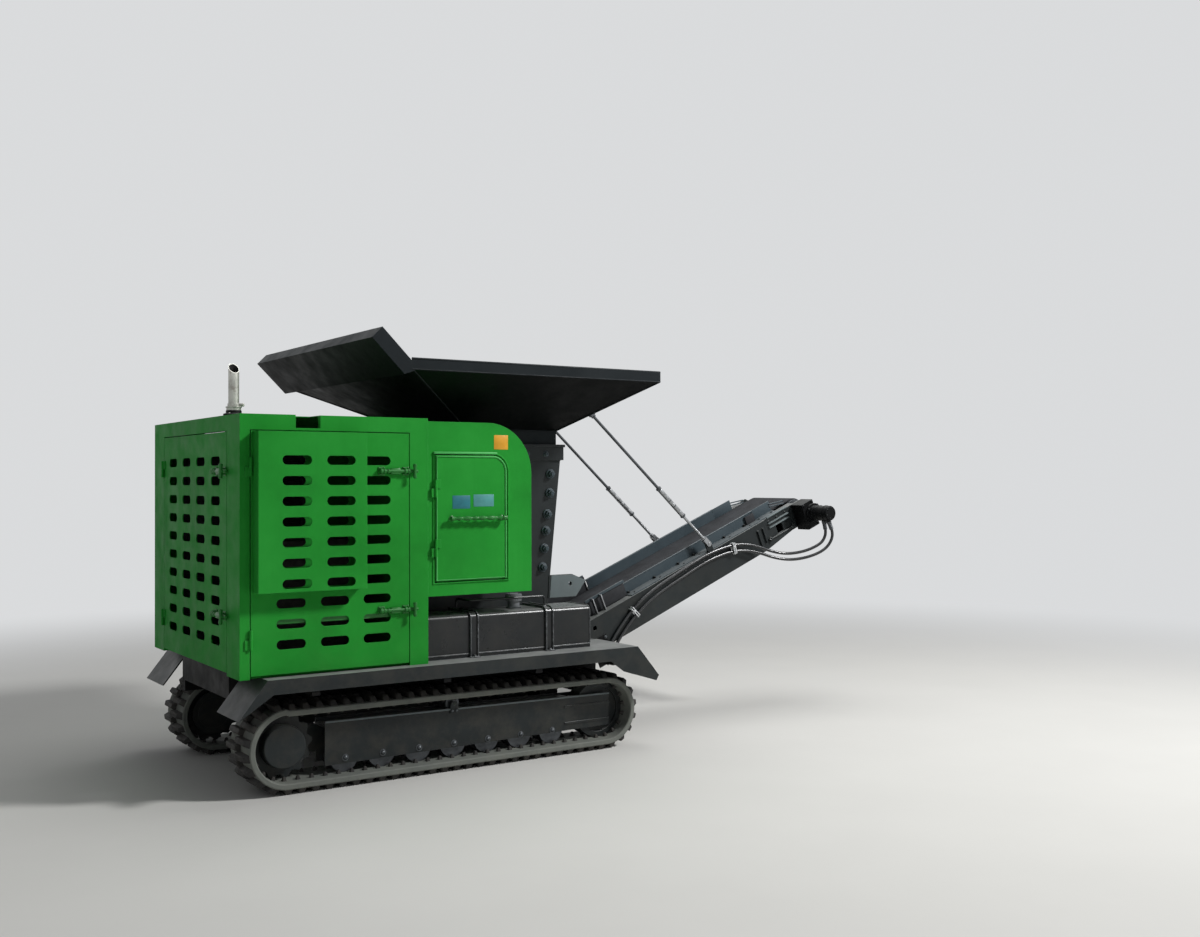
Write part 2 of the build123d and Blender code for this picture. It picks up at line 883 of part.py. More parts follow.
def small_door():
    """Small door in the cover, standing slightly proud, near side."""
    face = house_half + small_door_proud
    door = small_door_shape(0, -face, -face + small_door_depth)
    door -= small_door_shape(-skin, -face + skin, -face + small_door_depth + 1)
    for z in hinge_heights(small_door_low, small_door_top):
        z_door = z + knuckle_length + run_gap
        barrel = rod_z(small_hinge_x, -small_hinge_y, knuckle_r, z_door, z_door + knuckle_length)
        leaf = block(small_hinge_x, small_door_x0 + leaf_reach, -face - leaf_thick, -face,
                     z_door, z_door + knuckle_length)
        door += barrel + leaf
    return door


def small_handle():
    """Bar handle on two posts, near side."""
    face = house_half + small_door_proud
    x1 = small_door_x1 - handle_edge
    x0 = x1 - handle_length
    y = -face - handle_standoff
    bar = Pos((x0 + x1) / 2, y, handle_z) * Rot(0, 90, 0) * Cylinder(handle_r, handle_length)
    for x in (x0 + handle_post_inset, x1 - handle_post_inset):
        bar += rod_y(x, handle_z, handle_post_r, y, -face)
    return bar


def exhaust():
    """Exhaust pipe in its roof collar, its mouth cut at a slant that faces the near side."""
    mouth = house_top + exhaust_height
    pipe = rod_z(exhaust_x, exhaust_y, exhaust_r, house_top, mouth)
    pipe += rod_z(exhaust_x, exhaust_y, exhaust_collar_r, house_top, house_top + exhaust_collar)
    pipe += rod_z(exhaust_x, exhaust_y, exhaust_flange_r, house_top, house_top + exhaust_flange)
    bore_r = exhaust_r - exhaust_wall
    pipe -= rod_z(exhaust_x, exhaust_y, bore_r, house_top - 1, mouth + 1)
    reach = 4 * exhaust_r
    slant = Pos(exhaust_x, exhaust_y + exhaust_r - exhaust_wall / 2, mouth) * Rot(exhaust_slant, 0, 0)
    return pipe - slant * Pos(0, 0, reach / 2) * Box(2 * reach, 2 * reach, reach)


def engine():
    return block(engine_x0, engine_x1, -engine_half, engine_half, deck_top, deck_top + engine_height)


def tank():
    """Tank with round long top edges, near side."""
    body = block(tank_x0, tank_x1, -tank_outer, -tank_inner, deck_top, tank_top)
    edges = body.edges().filter_by(Axis.X).group_by(Axis.Z)[-1]
    return fillet(edges, tank_edge_r)


def tank_strap(x):
    """Flat strap over the outside and the top of the tank, near side."""
    outer = block(x - strap_width / 2, x + strap_width / 2, -tank_outer - strap_thick, -tank_inner,
                  deck_top, tank_top + strap_thick)
    edge = outer.edges().filter_by(Axis.X).group_by(Axis.Z)[-1].group_by(Axis.Y)[0]
    outer = fillet(edge, tank_edge_r + strap_thick)
    inner = block(x - strap_width, x + strap_width, -tank_outer, -tank_inner + 1, deck_top - 1, tank_top)
    edge = inner.edges().filter_by(Axis.X).group_by(Axis.Z)[-1].group_by(Axis.Y)[0]
    return outer - fillet(edge, tank_edge_r - seat_gap)


def tank_cap():
    """Filler cap, near side."""
    neck = rod_z(cap_x, -cap_y, cap_neck_r, tank_top, tank_top + cap_height - cap_lid / 2)
    return neck + rod_z(cap_x, -cap_y, cap_r, tank_top + cap_height - cap_lid, tank_top + cap_height)


def jaw_front(z):
    """X of the crusher's sloping front wall at a height."""
    slope = (jaw_front_x - jaw_foot_front_x) / (jaw_band_low - jaw_low)
    return jaw_foot_front_x + (z - jaw_low) * slope


def lash_ear():
    """Ear with a lashing hole on the front edge of the near side plate."""
    outline = [
        (jaw_front(lash_ear_low) - lash_ear_lap, lash_ear_low),
        (lash_ear_foot_x, lash_ear_low),
        (lash_ear_tip_x, lash_ear_tip_z),
        (lash_ear_top_x, lash_ear_top_z),
        (jaw_front(lash_ear_top_z) - lash_ear_lap, lash_ear_top_z),
    ]
    ear = slab(outline, -jaw_half, -jaw_half + lash_ear_thick)
    return ear - rod_y(lash_hole_x, lash_hole_z, lash_hole_r, -jaw_half - 1, -jaw_half + lash_ear_thick + 1)


def crusher_body():
    """Side plates, sloping front wall, rear wall, top band, bearings, feet and lashing ears."""
    inner = jaw_half - jaw_plate
    side = [(jaw_rear_x, jaw_low), (jaw_foot_front_x, jaw_low), (jaw_front_x, jaw_band_low),
            (jaw_front_x, jaw_top), (jaw_rear_x, jaw_top)]
    plate = slab(side, -jaw_half, -inner) + lash_ear()
    plate += rod_y(shaft_x, shaft_z, bearing_r, -jaw_half - bearing_proud, -jaw_half)
    for x in (jaw_rear_x + jaw_foot, jaw_foot_front_x - jaw_foot):
        plate += block(x - jaw_foot / 2, x + jaw_foot / 2, -rail_outer, -inner,
                       deck_top, jaw_low + jaw_foot_lap)
    plate -= rod_y(shaft_x, shaft_z, shaft_r + run_gap, -rail_outer, -inner + 1)
    body = plate + far_side(plate)
    front = [(jaw_foot_front_x - jaw_front_wall, jaw_low), (jaw_foot_front_x, jaw_low),
             (jaw_front_x, jaw_band_low), (jaw_front_x - jaw_front_wall, jaw_band_low)]
    body += slab(front, -inner, inner)
    body += block(jaw_rear_x, jaw_rear_x + jaw_plate, -inner, inner, jaw_rear_wall_low, jaw_top)
    band_half = jaw_half + jaw_band_proud
    band = block(jaw_rear_x - jaw_band_proud, jaw_front_x + jaw_band_proud, -band_half, band_half,
                 jaw_band_low, jaw_top)
    band -= block(inlet_x0 - inlet_gap, inlet_x1 + inlet_gap, -inner, inner, jaw_band_low - 1, jaw_top + 1)
    band -= block(jaw_rear_x, inlet_x0, -inner, inner, jaw_band_low - 1, jaw_top - jaw_lid)
    return body + band


def fixed_jaw():
    """Wear plate against the front wall."""
    low, top = fixed_jaw_low, jaw_band_low - fixed_jaw_top_gap
    back, face = jaw_front_wall, jaw_front_wall + fixed_jaw_thick
    corners = ((low, back), (top, back), (top, face), (low, face))
    half = jaw_half - jaw_plate - jaw_side_gap
    return slab([(jaw_front(z) - offset, z) for z, offset in corners], -half, half)


def swing_jaw():
    """Swinging jaw hung on the eccentric shaft."""
    back_x = shaft_x - swing_jaw_back
    outline = [(swing_jaw_top_x, swing_jaw_top_z), (swing_jaw_low_x, swing_jaw_low_z),
               (swing_jaw_low_x - swing_jaw_thick, swing_jaw_heel_z),
               (back_x, shaft_z - swing_jaw_back_low), (back_x, shaft_z + swing_jaw_back)]
    half = jaw_half - jaw_plate - jaw_side_gap
    jaw = slab(outline, -half, half)
    return jaw - rod_y(shaft_x, shaft_z, shaft_r + run_gap, -half - 1, half + 1)


def flywheels():
    """Eccentric shaft with a spoked wheel at each end."""
    reach = wheel_centre_y + wheel_width / 2 + shaft_end
    body = rod_y(shaft_x, shaft_z, shaft_r, -reach, reach)
    for side in (-1, 1):
        y0 = side * (wheel_centre_y - wheel_width / 2)
        y1 = side * (wheel_centre_y + wheel_width / 2)
        wheel = rod_y(shaft_x, shaft_z, wheel_r, y0, y1)
        wheel -= rod_y(shaft_x, shaft_z, wheel_r - wheel_rim, y0 - side, y1 + side)
        web = side * wheel_centre_y
        wheel += rod_y(shaft_x, shaft_z, wheel_r - wheel_rim / 2, web - wheel_web / 2, web + wheel_web / 2)
        wheel += rod_y(shaft_x, shaft_z, hub_r, y0, y1)
        body += wheel
    return body


def hopper_shell(inset):
    """Funnel between the rim and the neck, shrunk by a wall."""
    top = hopper_rim_low
    spread = [
        (hopper_rear_x + inset, hopper_front_x - inset, hopper_half - inset, top),
        (inlet_x0 + inset, inlet_x1 - inset, jaw_half - inset, hopper_neck_top),
    ]
    faces = []
    for x0, x1, half, z in spread:
        corners = [(x0, -half, z), (x1, -half, z), (x1, half, z), (x0, half, z)]
        faces.append(make_face(Polyline(corners, close=True)))
    return loft(faces)


def hopper_flap():
    """Raised rear edge of the hopper with its two ends and its lip."""
    t = hopper_plate
    rise = math.radians(45)
    along = math.cos(rise)
    knee = (flap_knee_x, flap_knee_z)
    tip = (knee[0] - flap_run, knee[1] + flap_run)
    knee_rim = (knee[0] + flap_rim * along, knee[1] + flap_rim * along)
    tip_rim = (tip[0] + flap_rim * along, tip[1] + flap_rim * along)
    seat_x = hopper_rear_x + flap_lap
    floor = [knee, tip, (tip[0] + t * along, tip[1] + t * along),
             (seat_x, hopper_rim_low + t), (seat_x, hopper_rim_low - t)]
    flap = slab(floor, -hopper_half, hopper_half)
    for side in (-1, 1):
        flap += slab([knee, tip, tip_rim, knee_rim], side * (hopper_half - t), side * hopper_half)
    lip = [tip, tip_rim, (tip_rim[0] + t * along, tip_rim[1] - t * along),
           (tip[0] + t * along, tip[1] - t * along)]
    return flap + slab(lip, -hopper_half, hopper_half)


def hopper():
    """Funnel with its neck, rim, raised rear flap and the lugs of the stays."""
    t = hopper_plate
    body = hopper_shell(0)
    body += block(inlet_x0, inlet_x1, -jaw_half, jaw_half, jaw_top, hopper_neck_top)
    body += block(hopper_rear_x, hopper_front_x, -hopper_half, hopper_half, hopper_rim_low, hopper_rim_top)
    body -= hopper_shell(t)
    body -= block(inlet_x0 + t, inlet_x1 - t, -jaw_half + t, jaw_half - t,
                  jaw_top - 1, hopper_neck_top + neck_lap)
    body -= block(hopper_rear_x - 1, hopper_front_x - t, -hopper_half + t, hopper_half - t,
                  hopper_rim_low - 1, hopper_rim_top + 1)
    body += hopper_flap()
    slope = (hopper_rim_low - hopper_neck_top) / (hopper_front_x - inlet_x1)
    wall_z = hopper_neck_top + (stay_top_x - inlet_x1) * slope
    half = stay_lug_thick / 2
    for side in (-1, 1):
        y = side * stay_y
        lug = block(stay_top_x - stay_lug_half, stay_top_x + stay_lug_half, y - half, y + half,
                    stay_top_z, wall_z + stay_lug_lap)
        lug += rod_y(stay_top_x, stay_top_z, stay_lug_half, y - half, y + half)
        lug -= rod_y(stay_top_x, stay_top_z, stay_pin_r + run_gap, y - half - 1, y + half + 1)
        body += lug
    return body


def conveyor_beams():
    """Two channel beams with their head plates, stay lugs and pivot pins."""
    low = -beam_depth
    nose_u = beam_head_u + head_nose
    web = [(beam_tail_u, low), (head_plate_u, low), (head_plate_u + head_plate_slope, -head_plate_depth),
           (beam_head_u - head_nose, -head_plate_depth), (nose_u, -beam_depth / 2),
           (nose_u, -head_nose), (beam_head_u, 0), (beam_tail_u, 0)]
    beam = slab(web, -beam_half, -beam_half + beam_web)
    beam += block(beam_tail_u, beam_head_u - head_flange_back, -beam_half, -beam_half + beam_flange,
                  -beam_flange_thick, 0)
    beam += block(beam_tail_u, head_plate_u, -beam_half, -beam_half + beam_flange,
                  low, low + beam_flange_thick)
    lug_y = -beam_half + stay_lug_thick
    lug = block(stay_lug_u - stay_eye_r, stay_lug_u + stay_eye_r, -beam_half, lug_y,
                -beam_flange_thick - stay_lug_lap, stay_lug_w)
    lug += rod_y(stay_lug_u, stay_lug_w, stay_eye_r, -beam_half, lug_y)
    lug -= rod_y(stay_lug_u, stay_lug_w, stay_lug_hole_r, -beam_half - 1, lug_y + 1)
    beam += lug
    for u in (head_drum_u, tail_drum_u):
        beam -= rod_y(u, drum_w, drum_pin_r + seat_gap, -beam_half - 1, -beam_half + beam_web + 1)
    beam -= rod_y(tie_hole_u, tie_hole_w, tie_hole_r, -beam_half - 1, -beam_half + beam_web + 1)
    beam -= block(head_slot_u - head_slot / 2, head_slot_u + head_slot / 2, -beam_half - 1,
                  -beam_half + beam_web + 1, head_slot_w - head_slot / 2, head_slot_w + head_slot / 2)
    beam += rod_y(pivot_u, pivot_w, pivot_r, -rail_inner + pivot_end_gap, -beam_half)
    return [incline(solid) for solid in both_sides(beam)]


def conveyor_ties():
    """Tubes that join the two beams."""
    reach = beam_half - beam_web
    return [incline(rod_y(u, drum_w, tie_tube_r, -reach, reach)) for u in tie_tube_places]


def conveyor_belt():
    """Closed belt round both drums."""
    loop = []
    for r in (drum_r + conveyor_belt_thick, drum_r + seat_gap):
        points = []
        steps = 20
        for step in range(steps + 1):
            turn = math.pi * step / steps
            points.append((head_drum_u + r * math.sin(turn), drum_w - r * math.cos(turn)))
        for step in range(steps + 1):
            turn = math.pi + math.pi * step / steps
            points.append((tail_drum_u + r * math.sin(turn), drum_w - r * math.cos(turn)))
        loop.append(points)
    belt = slab(loop[0], -conveyor_belt_half, conveyor_belt_half)
    return incline(belt - slab(loop[1], -conveyor_belt_half - 1, conveyor_belt_half + 1))


def conveyor_drums():
    solids = []
    for u in (head_drum_u, tail_drum_u):
        drum = rod_y(u, drum_w, drum_r, -drum_half, drum_half)
        solids.append(incline(drum + rod_y(u, drum_w, drum_pin_r, -beam_half, beam_half)))
    return solids


def carry_rollers():
    """Rollers under the loaded run of the belt."""
    solids = []
    reach = beam_half - beam_web
    w = drum_w + drum_r - carry_roller_r - seat_gap
    for index in range(carry_roller_count):
        u = carry_roller_first_u + index * carry_roller_pitch
        roller = rod_y(u, w, carry_roller_r, -drum_half, drum_half)
        solids.append(incline(roller + rod_y(u, w, carry_axle_r, -reach, reach)))
    return solids


def skirts():
    """Skirt boards beside the belt, each on an angle bolted to its beam."""
    board = block(skirt_rear_u, skirt_front_u, -skirt_half - skirt_thick, -skirt_half, 0, skirt_top_w)
    board += block(skirt_rear_u, skirt_front_u, -beam_half + skirt_foot_inset, -skirt_half, 0, skirt_thick)
    return [incline(board), incline(far_side(board))]


motor_x, motor_z = incline_point(head_drum_u, drum_w)

# Route of each hose: from the ports on the beam, up the beam and round to the motor.
hose_points = {
    "hose_upper": [
        (2425, -304, 470),
        (2478, -304, 556),
        (2552, -304, 652),
        (2650, -304, 756),
        (2790, -304, 856),
        (2985, -304, 952),
        (3215, -304, 1062),
        (3390, -306, 1112),
        (3520, -316, 1130),
        (3640, -336, 1112),
        (3745, -362, 1072),
        (3860, -396, 1052),
        (3980, -440, 1070),
        (4070, -478, 1112),
        (4108, -488, 1150),
        (motor_x + 30, -493, motor_z - 123),
        (motor_x + 11, -494, motor_z - 64),
    ],
    "hose_lower": [
        (2462, -304, 452),
        (2510, -304, 530),
        (2580, -304, 622),
        (2682, -304, 728),
        (2812, -304, 820),
        (3000, -304, 914),
        (3228, -304, 1022),
        (3400, -306, 1074),
        (3530, -318, 1088),
        (3652, -342, 1068),
        (3758, -372, 1030),
        (3876, -412, 1012),
        (3998, -462, 1032),
        (4092, -510, 1078),
        (4140, -530, 1144),
        (motor_x + 46, -538, motor_z - 116),
        (motor_x + 15, -538, motor_z - 66),
    ],
}


def conveyor_motor():
    """Hydraulic motor on its mount, at the near end of the head drum."""
    motor = block(head_drum_u - motor_mount_rear, head_drum_u + motor_mount_front,
                  -motor_mount_reach, -beam_half, drum_w - motor_mount_low, drum_w + motor_mount_top)
    motor += rod_y(head_drum_u, drum_w, motor_flange_r, -motor_mount_reach - motor_flange, -beam_half)
    motor += rod_y(head_drum_u, drum_w, motor_r, -motor_reach, -motor_mount_reach)
    motor = incline(motor)
    for name in hose_points:
        end, before = Vector(*hose_points[name][-1]), Vector(*hose_points[name][-2])
        along = (end - before).normalized()
        motor += rod_between(tuple(end), tuple(end + along * port_length), hose_r + port_wall)
    return motor


stay_y = beam_half - stay_lug_thick / 2
stay_low_x, stay_low_z = incline_point(stay_lug_u, stay_lug_w)
stay_run = math.hypot(stay_low_x - stay_top_x, stay_low_z - stay_top_z)
stay_dir_x = (stay_low_x - stay_top_x) / stay_run
stay_dir_z = (stay_low_z - stay_top_z) / stay_run


def stay_point(distance, y):
    """Point on a stay, measured from its upper eye."""
    return stay_top_x + stay_dir_x * distance, y, stay_top_z + stay_dir_z * distance


def stay_bar(x, z, along0, along1, y0, y1):
    """Flat bar along a stay's line, measured from one of its eyes."""
    corners = []
    for along, side in ((along0, -1), (along1, -1), (along1, 1), (along0, 1)):
        across = side * stay_ear_half
        corners.append((x + along * stay_dir_x - across * stay_dir_z,
                        z + along * stay_dir_z + across * stay_dir_x))
    return slab(corners, y0, y1)


def fork(x, z, y, toward):
    """Fork at an eye: a pin, two ears and the bridge that joins them to the rod."""
    inner = stay_lug_thick / 2 + stay_ear_gap
    outer = inner + stay_ear
    end = toward * stay_ear_length
    shape = rod_y(x, z, stay_pin_r, y - outer - stay_pin_end, y + outer + stay_pin_end)
    for side in (-1, 1):
        shape += rod_y(x, z, stay_ear_r, y + side * inner, y + side * outer)
        shape += stay_bar(x, z, 0, end, y + side * inner, y + side * outer)
    return shape + stay_bar(x, z, end - toward * stay_bridge, end, y - outer, y + outer)


def stay_upper(side):
    """Upper rod of a stay, ending in the turnbuckle's sleeve."""
    y = side * stay_y
    head = fork(stay_top_x, stay_top_z, y, 1)
    start = stay_run * stay_split
    end = start + stay_sleeve_length
    rod = rod_between(stay_point(stay_ear_length - stay_bridge / 2, y), stay_point(start, y), stay_rod_r)
    sleeve = rod_between(stay_point(start, y), stay_point(end, y), stay_sleeve_r)
    bore_start = start + stay_sleeve_floor
    sleeve -= rod_between(stay_point(bore_start, y), stay_point(end + 1, y), stay_rod_r + run_gap)
    return head + rod + sleeve


def stay_lower(side):
    """Lower rod of a stay, running in the sleeve, with its fork at the conveyor's lug."""
    y = side * stay_y
    foot = fork(stay_low_x, stay_low_z, y, -1)
    start = stay_run * stay_split + stay_sleeve_length - stay_rod_in_sleeve
    end = stay_run - stay_ear_length + stay_bridge / 2
    return foot + rod_between(stay_point(start, y), stay_point(end, y), stay_rod_r)


def hose(name):
    """Tube of straight runs joined by tangent arcs."""
    points = [Vector(*p) for p in hose_points[name]]
    radii = []
    for before, corner, after in zip(points, points[1:], points[2:]):
        turn = math.radians((corner - before).get_angle(after - corner))
        run = min((corner - before).length, (after - corner).length)
        radii.append(arc_share * run / math.tan(turn / 2))
    path = FilletPolyline(points, radius=radii)
    section = Plane(origin=points[0], z_dir=points[1] - points[0]) * Circle(hose_r)
    tube = sweep(section, path=path)
    expected = math.pi * hose_r**2 * path.length
    print(name, "arc radii", [round(r) for r in radii])
    print(name, "length", round(path.length), "volume share", round(tube.volume / expected, 4))
    return tube


def hose_ports():
    """Bracket plate on the beam with a port under each hose."""
    bracket = incline(block(port_plate_u0, port_plate_u1, -beam_half - port_plate, -beam_half,
                            port_plate_low, port_plate_top))
    for name in hose_points:
        start, after = Vector(*hose_points[name][0]), Vector(*hose_points[name][1])
        along = (after - start).normalized()
        bracket += rod_between(tuple(start - along * port_length), tuple(start), hose_r + port_wall)
    return bracket


pieces = {
    "chassis_rails": chassis_rails(),
    "chassis_cross_members": cross_members(),
    "deck_brackets": deck_brackets(),
    "conveyor_pivot_ears": pivot_ears(),
    "decks": both_sides(deck()),
    "track_frames": both_sides(track_frame()),
    "track_belt_near": [track_belt()],
    "track_belt_far": [far_side(track_belt())],
    "sprockets": both_sides(sprocket()),
    "idlers": both_sides(idler()),
    "track_rollers_near": rollers(),
    "track_rollers_far": [far_side(solid) for solid in rollers()],
    "housing_rear_frame": [rear_frame()],
    "housing_side_near": [side_frame()],
    "housing_side_far": [far_side(side_frame())],
    "housing_roof": [roof()],
    "housing_bulkhead": [bulkhead()],
    "side_cover_near": [cover()],
    "side_cover_far": [far_side(cover())],
    "side_door_near": [side_door()],
    "side_door_far": [far_side(side_door())],
    "side_door_guard": [door_guard()],
    "side_latches_near": side_latches(),
    "side_latches_far": [far_side(solid) for solid in side_latches()],
    "rear_door": [rear_door()],
    "rear_latches": rear_latches(),
    "crusher_door_near": [small_door()],
    "crusher_door_far": [far_side(small_door())],
    "crusher_handle_near": [small_handle()],
    "crusher_handle_far": [far_side(small_handle())],
    "exhaust_stack": [exhaust()],
    "engine_block": [engine()],
    "tanks": both_sides(tank()),
    "tank_straps": both_sides(tank_strap(strap_rear_x)) + both_sides(tank_strap(strap_front_x)),
    "tank_caps": both_sides(tank_cap()),
    "crusher_body": [crusher_body()],
    "fixed_jaw": [fixed_jaw()],
    "swing_jaw": [swing_jaw()],
    "flywheels": [flywheels()],
    "hopper": [hopper()],
    "conveyor_frame": conveyor_beams(),
    "conveyor_ties": conveyor_ties(),
    "conveyor_belt": [conveyor_belt()],
    "conveyor_drums": conveyor_drums(),
    "conveyor_rollers": carry_rollers(),
    "conveyor_skirts": skirts(),
    "conveyor_motor": [conveyor_motor()],
    "stay_upper_near": [stay_upper(-1)],
    "stay_upper_far": [stay_upper(1)],
    "stay_lower_near": [stay_lower(-1)],
    "stay_lower_far": [stay_lower(1)],
    "hose_ports": [hose_ports()],
    "hose_upper": [hose("hose_upper")],
    "hose_lower": [hose("hose_lower")],
}

# Footprint centre: half way between the rearmost and the foremost point.
extents = [solid.bounding_box() for solids in pieces.values() for solid in solids]
x_centre = (min(box.min.X for box in extents) + max(box.max.X for box in extents)) / 2

os.makedirs("parts", exist_ok=True)
for name, solids in pieces.items():
    placed = [Pos(-x_centre, 0, 0) * solid for solid in solids]
    export_step(Compound(children=placed) if len(placed) > 1 else placed[0], f"parts/{name}.step")
print("footprint centre", round(x_centre, 2))
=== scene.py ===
import math

import bmesh
import bpy
from mathutils import Matrix, Vector
from mathutils.geometry import intersect_line_line_2d


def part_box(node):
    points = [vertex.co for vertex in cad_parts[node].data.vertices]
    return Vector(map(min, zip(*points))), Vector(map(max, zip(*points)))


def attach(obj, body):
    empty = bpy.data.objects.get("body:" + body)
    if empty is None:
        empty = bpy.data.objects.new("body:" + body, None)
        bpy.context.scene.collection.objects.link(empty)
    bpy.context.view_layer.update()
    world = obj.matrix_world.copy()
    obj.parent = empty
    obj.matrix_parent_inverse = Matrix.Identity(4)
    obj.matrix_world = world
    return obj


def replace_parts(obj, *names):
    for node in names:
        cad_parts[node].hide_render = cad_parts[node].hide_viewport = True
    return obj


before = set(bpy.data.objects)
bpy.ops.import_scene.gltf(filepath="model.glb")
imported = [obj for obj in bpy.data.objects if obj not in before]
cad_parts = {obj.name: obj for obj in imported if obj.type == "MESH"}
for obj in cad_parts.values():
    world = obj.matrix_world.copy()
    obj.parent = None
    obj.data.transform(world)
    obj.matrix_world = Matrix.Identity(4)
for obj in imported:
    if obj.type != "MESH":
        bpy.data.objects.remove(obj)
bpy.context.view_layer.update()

# Places are in metres: x from the housing's rear face, y from the centre plane (the near side
# is negative) and z from the ground. point() turns them into the row's frame.
HOUSE_LENGTH = 1.0
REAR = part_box("housing_bulkhead")[1].x - HOUSE_LENGTH
STATION = Matrix.Translation((REAR, 0, 0))
SIDES = (("near", -1), ("far", 1))

# Directions: toward the conveyor's end, outward on the near side, and up
AHEAD, OUT, UP = (1, 0, 0), (0, -1, 0), (0, 0, 1)

# Sizes shared by several pieces
HOUSE_HALF = 0.760
HOUSE_TOP = 1.880
DECK_TOP = 0.595
JAW_HALF = 0.330
BEAM_HALF = 0.290


def point(x, y, z):
    return Vector((REAR + x, y, z))


# Mesh helpers: each adds closed geometry to a bmesh


def around(centre, r, turns):
    return [(centre[0] + r * math.cos(turn), centre[1] + r * math.sin(turn)) for turn in turns]


def circle(centre, r, count, start=0.0):
    """Evenly spaced points on a circle."""
    return around(centre, r, [start + 2 * math.pi * step / count for step in range(count)])


def arc(centre, r, start, end, steps):
    """Points on an arc with both its ends, which are given in quarter turns."""
    return around(centre, r, [math.pi / 2 * (start + (end - start) * step / steps)
                              for step in range(steps + 1)])


def finish_mesh(name, bm, material, body):
    """Turn a bmesh into a piece that rides on a body."""
    bmesh.ops.recalc_face_normals(bm, faces=bm.faces)
    mesh = bpy.data.meshes.new(name)
    bm.to_mesh(mesh)
    bm.free()
    mesh.shade_smooth()
    mesh.set_sharp_from_angle(angle=math.radians(32))
    mesh.materials.append(material)
    piece = bpy.data.objects.new(name, mesh)
    bpy.context.collection.objects.link(piece)
    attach(piece, body)
    return piece


def add_block(bm, low, high, bevel=0.001, matrix=None):
    """Box between two corners with rounded edges."""
    middle = (Vector(low) + Vector(high)) / 2
    size = Vector(high) - Vector(low)
    made = bmesh.ops.create_cube(bm, size=1)["verts"]
    bmesh.ops.scale(bm, vec=size, verts=made)
    bmesh.ops.translate(bm, vec=middle, verts=made)
    if bevel:
        edges = list({e for v in made for e in v.link_edges})
        made = bmesh.ops.bevel(bm, geom=edges, offset=bevel, segments=2, profile=0.5,
                               affect="EDGES", clamp_overlap=True)["verts"]
    if matrix:
        bmesh.ops.transform(bm, matrix=matrix, verts=list(set(made)))


def add_sweep(bm, rings, closed=False):
    """Skin over rings with as many points each, capped at its ends unless closed; caps come last."""
    rings = [[bm.verts.new(p) for p in ring] for ring in rings]
    count = len(rings[0])
    faces = []
    for low, high in zip(rings, rings[1:] + rings[:1] if closed else rings[1:]):
        for step in range(count):
            after = (step + 1) % count
            faces.append(bm.faces.new((low[step], low[after], high[after], high[step])))
    if not closed:
        faces += [bm.faces.new(rings[0][::-1]), bm.faces.new(rings[-1])]
    return faces


def add_lathe(bm, origin, direction, profile, segments):
    """Turned piece: profile holds (radius, distance along the axis), from end to end."""
    turn = Vector(direction).to_track_quat("Z", "Y").to_matrix().to_4x4()
    matrix = Matrix.Translation(origin) @ turn
    add_sweep(bm, [[matrix @ Vector((*spot, along)) for spot in circle((0, 0), r, segments)]
                   for r, along in profile])


def add_collar(bm, origin, direction, r_end, r, length, segments, chamfer=0.001):
    """Ring or nut whose two ends narrow over a chamfer."""
    add_lathe(bm, origin, direction,
              [(r_end, 0), (r, chamfer), (r, length - chamfer), (r_end, length)], segments)


def add_rod(bm, start, end, r):
    """Round bar between two points with chamfered ends."""
    run = Vector(end) - Vector(start)
    chamfer = min(0.0015, r / 3, run.length / 4)
    add_collar(bm, start, run, r - chamfer, r, run.length, 16, chamfer)


def add_bolt(bm, origin, direction, r, height, washer=True):
    """Hexagon head with its washer, standing on a surface."""
    if washer:
        add_lathe(bm, origin, direction, [(r * 1.45, -0.0005), (r * 1.45, 0.0018), (r * 1.3, 0.0025)], 20)
    base = Vector(origin) + Vector(direction).normalized() * (0.002 if washer else -0.0005)
    add_lathe(bm, base, direction, [(r, 0), (r, height * 0.8), (r * 0.86, height)], 6)


def add_dome(bm, origin, r, height, segments=14):
    """Round bolt head that faces outward."""
    profile = [(r * 1.4, -0.0005), (r * 1.4, 0.002), (r, 0.002)]
    for step in range(1, 5):
        turn = math.pi / 2 * step / 4.4
        profile.append((r * math.cos(turn), 0.002 + height * math.sin(turn)))
    add_lathe(bm, origin, OUT, profile, segments)


def add_tube(bm, points, r, segments=10, closed=False):
    """Round tube along points, in rings that follow the path."""
    points = [Vector(p) for p in points]
    last = len(points) - 1
    rings = []
    normal = None
    for index, place in enumerate(points):
        if closed:
            along = (points[(index + 1) % (last + 1)] - points[index - 1]).normalized()
        else:
            along = (points[min(index + 1, last)] - points[max(index - 1, 0)]).normalized()
        if normal is None:
            normal = along.orthogonal().normalized()
        normal = (normal - along * normal.dot(along)).normalized()
        across = along.cross(normal)
        rings.append([place + (normal * x + across * y) * r for x, y in circle((0, 0), 1, segments)])
    add_sweep(bm, rings, closed)


def add_plate(bm, outline, y0, y1, bevel):
    """Plate from an outline of (x, z) pairs, pushed from y0 to y1, with rounded rims."""
    caps = add_sweep(bm, [[(x, y, z) for x, z in outline] for y in (y0, y1)])[-2:]
    rims = [e for f in caps for e in f.edges]
    bmesh.ops.bevel(bm, geom=rims, offset=bevel, segments=2, profile=0.5, affect="EDGES")


def add_frustum(bm, base, top, bevel):
    """Solid between two outlines of four points each, with chamfered edges."""
    edges = list({e for f in add_sweep(bm, [base, top]) for e in f.edges})
    bmesh.ops.bevel(bm, geom=edges, offset=bevel, segments=1, profile=0.5, affect="EDGES")


def make_piece(name, build, material, body, place=STATION, mirrored=False):
    """Piece whose builder works in its own coordinates, set into the row's frame."""
    bm = bmesh.new()
    build(bm)
    side = Matrix.Scale(-1 if mirrored else 1, 4, (0, 1, 0))
    bmesh.ops.transform(bm, matrix=place @ side, verts=bm.verts[:])
    return finish_mesh(name, bm, material, body)


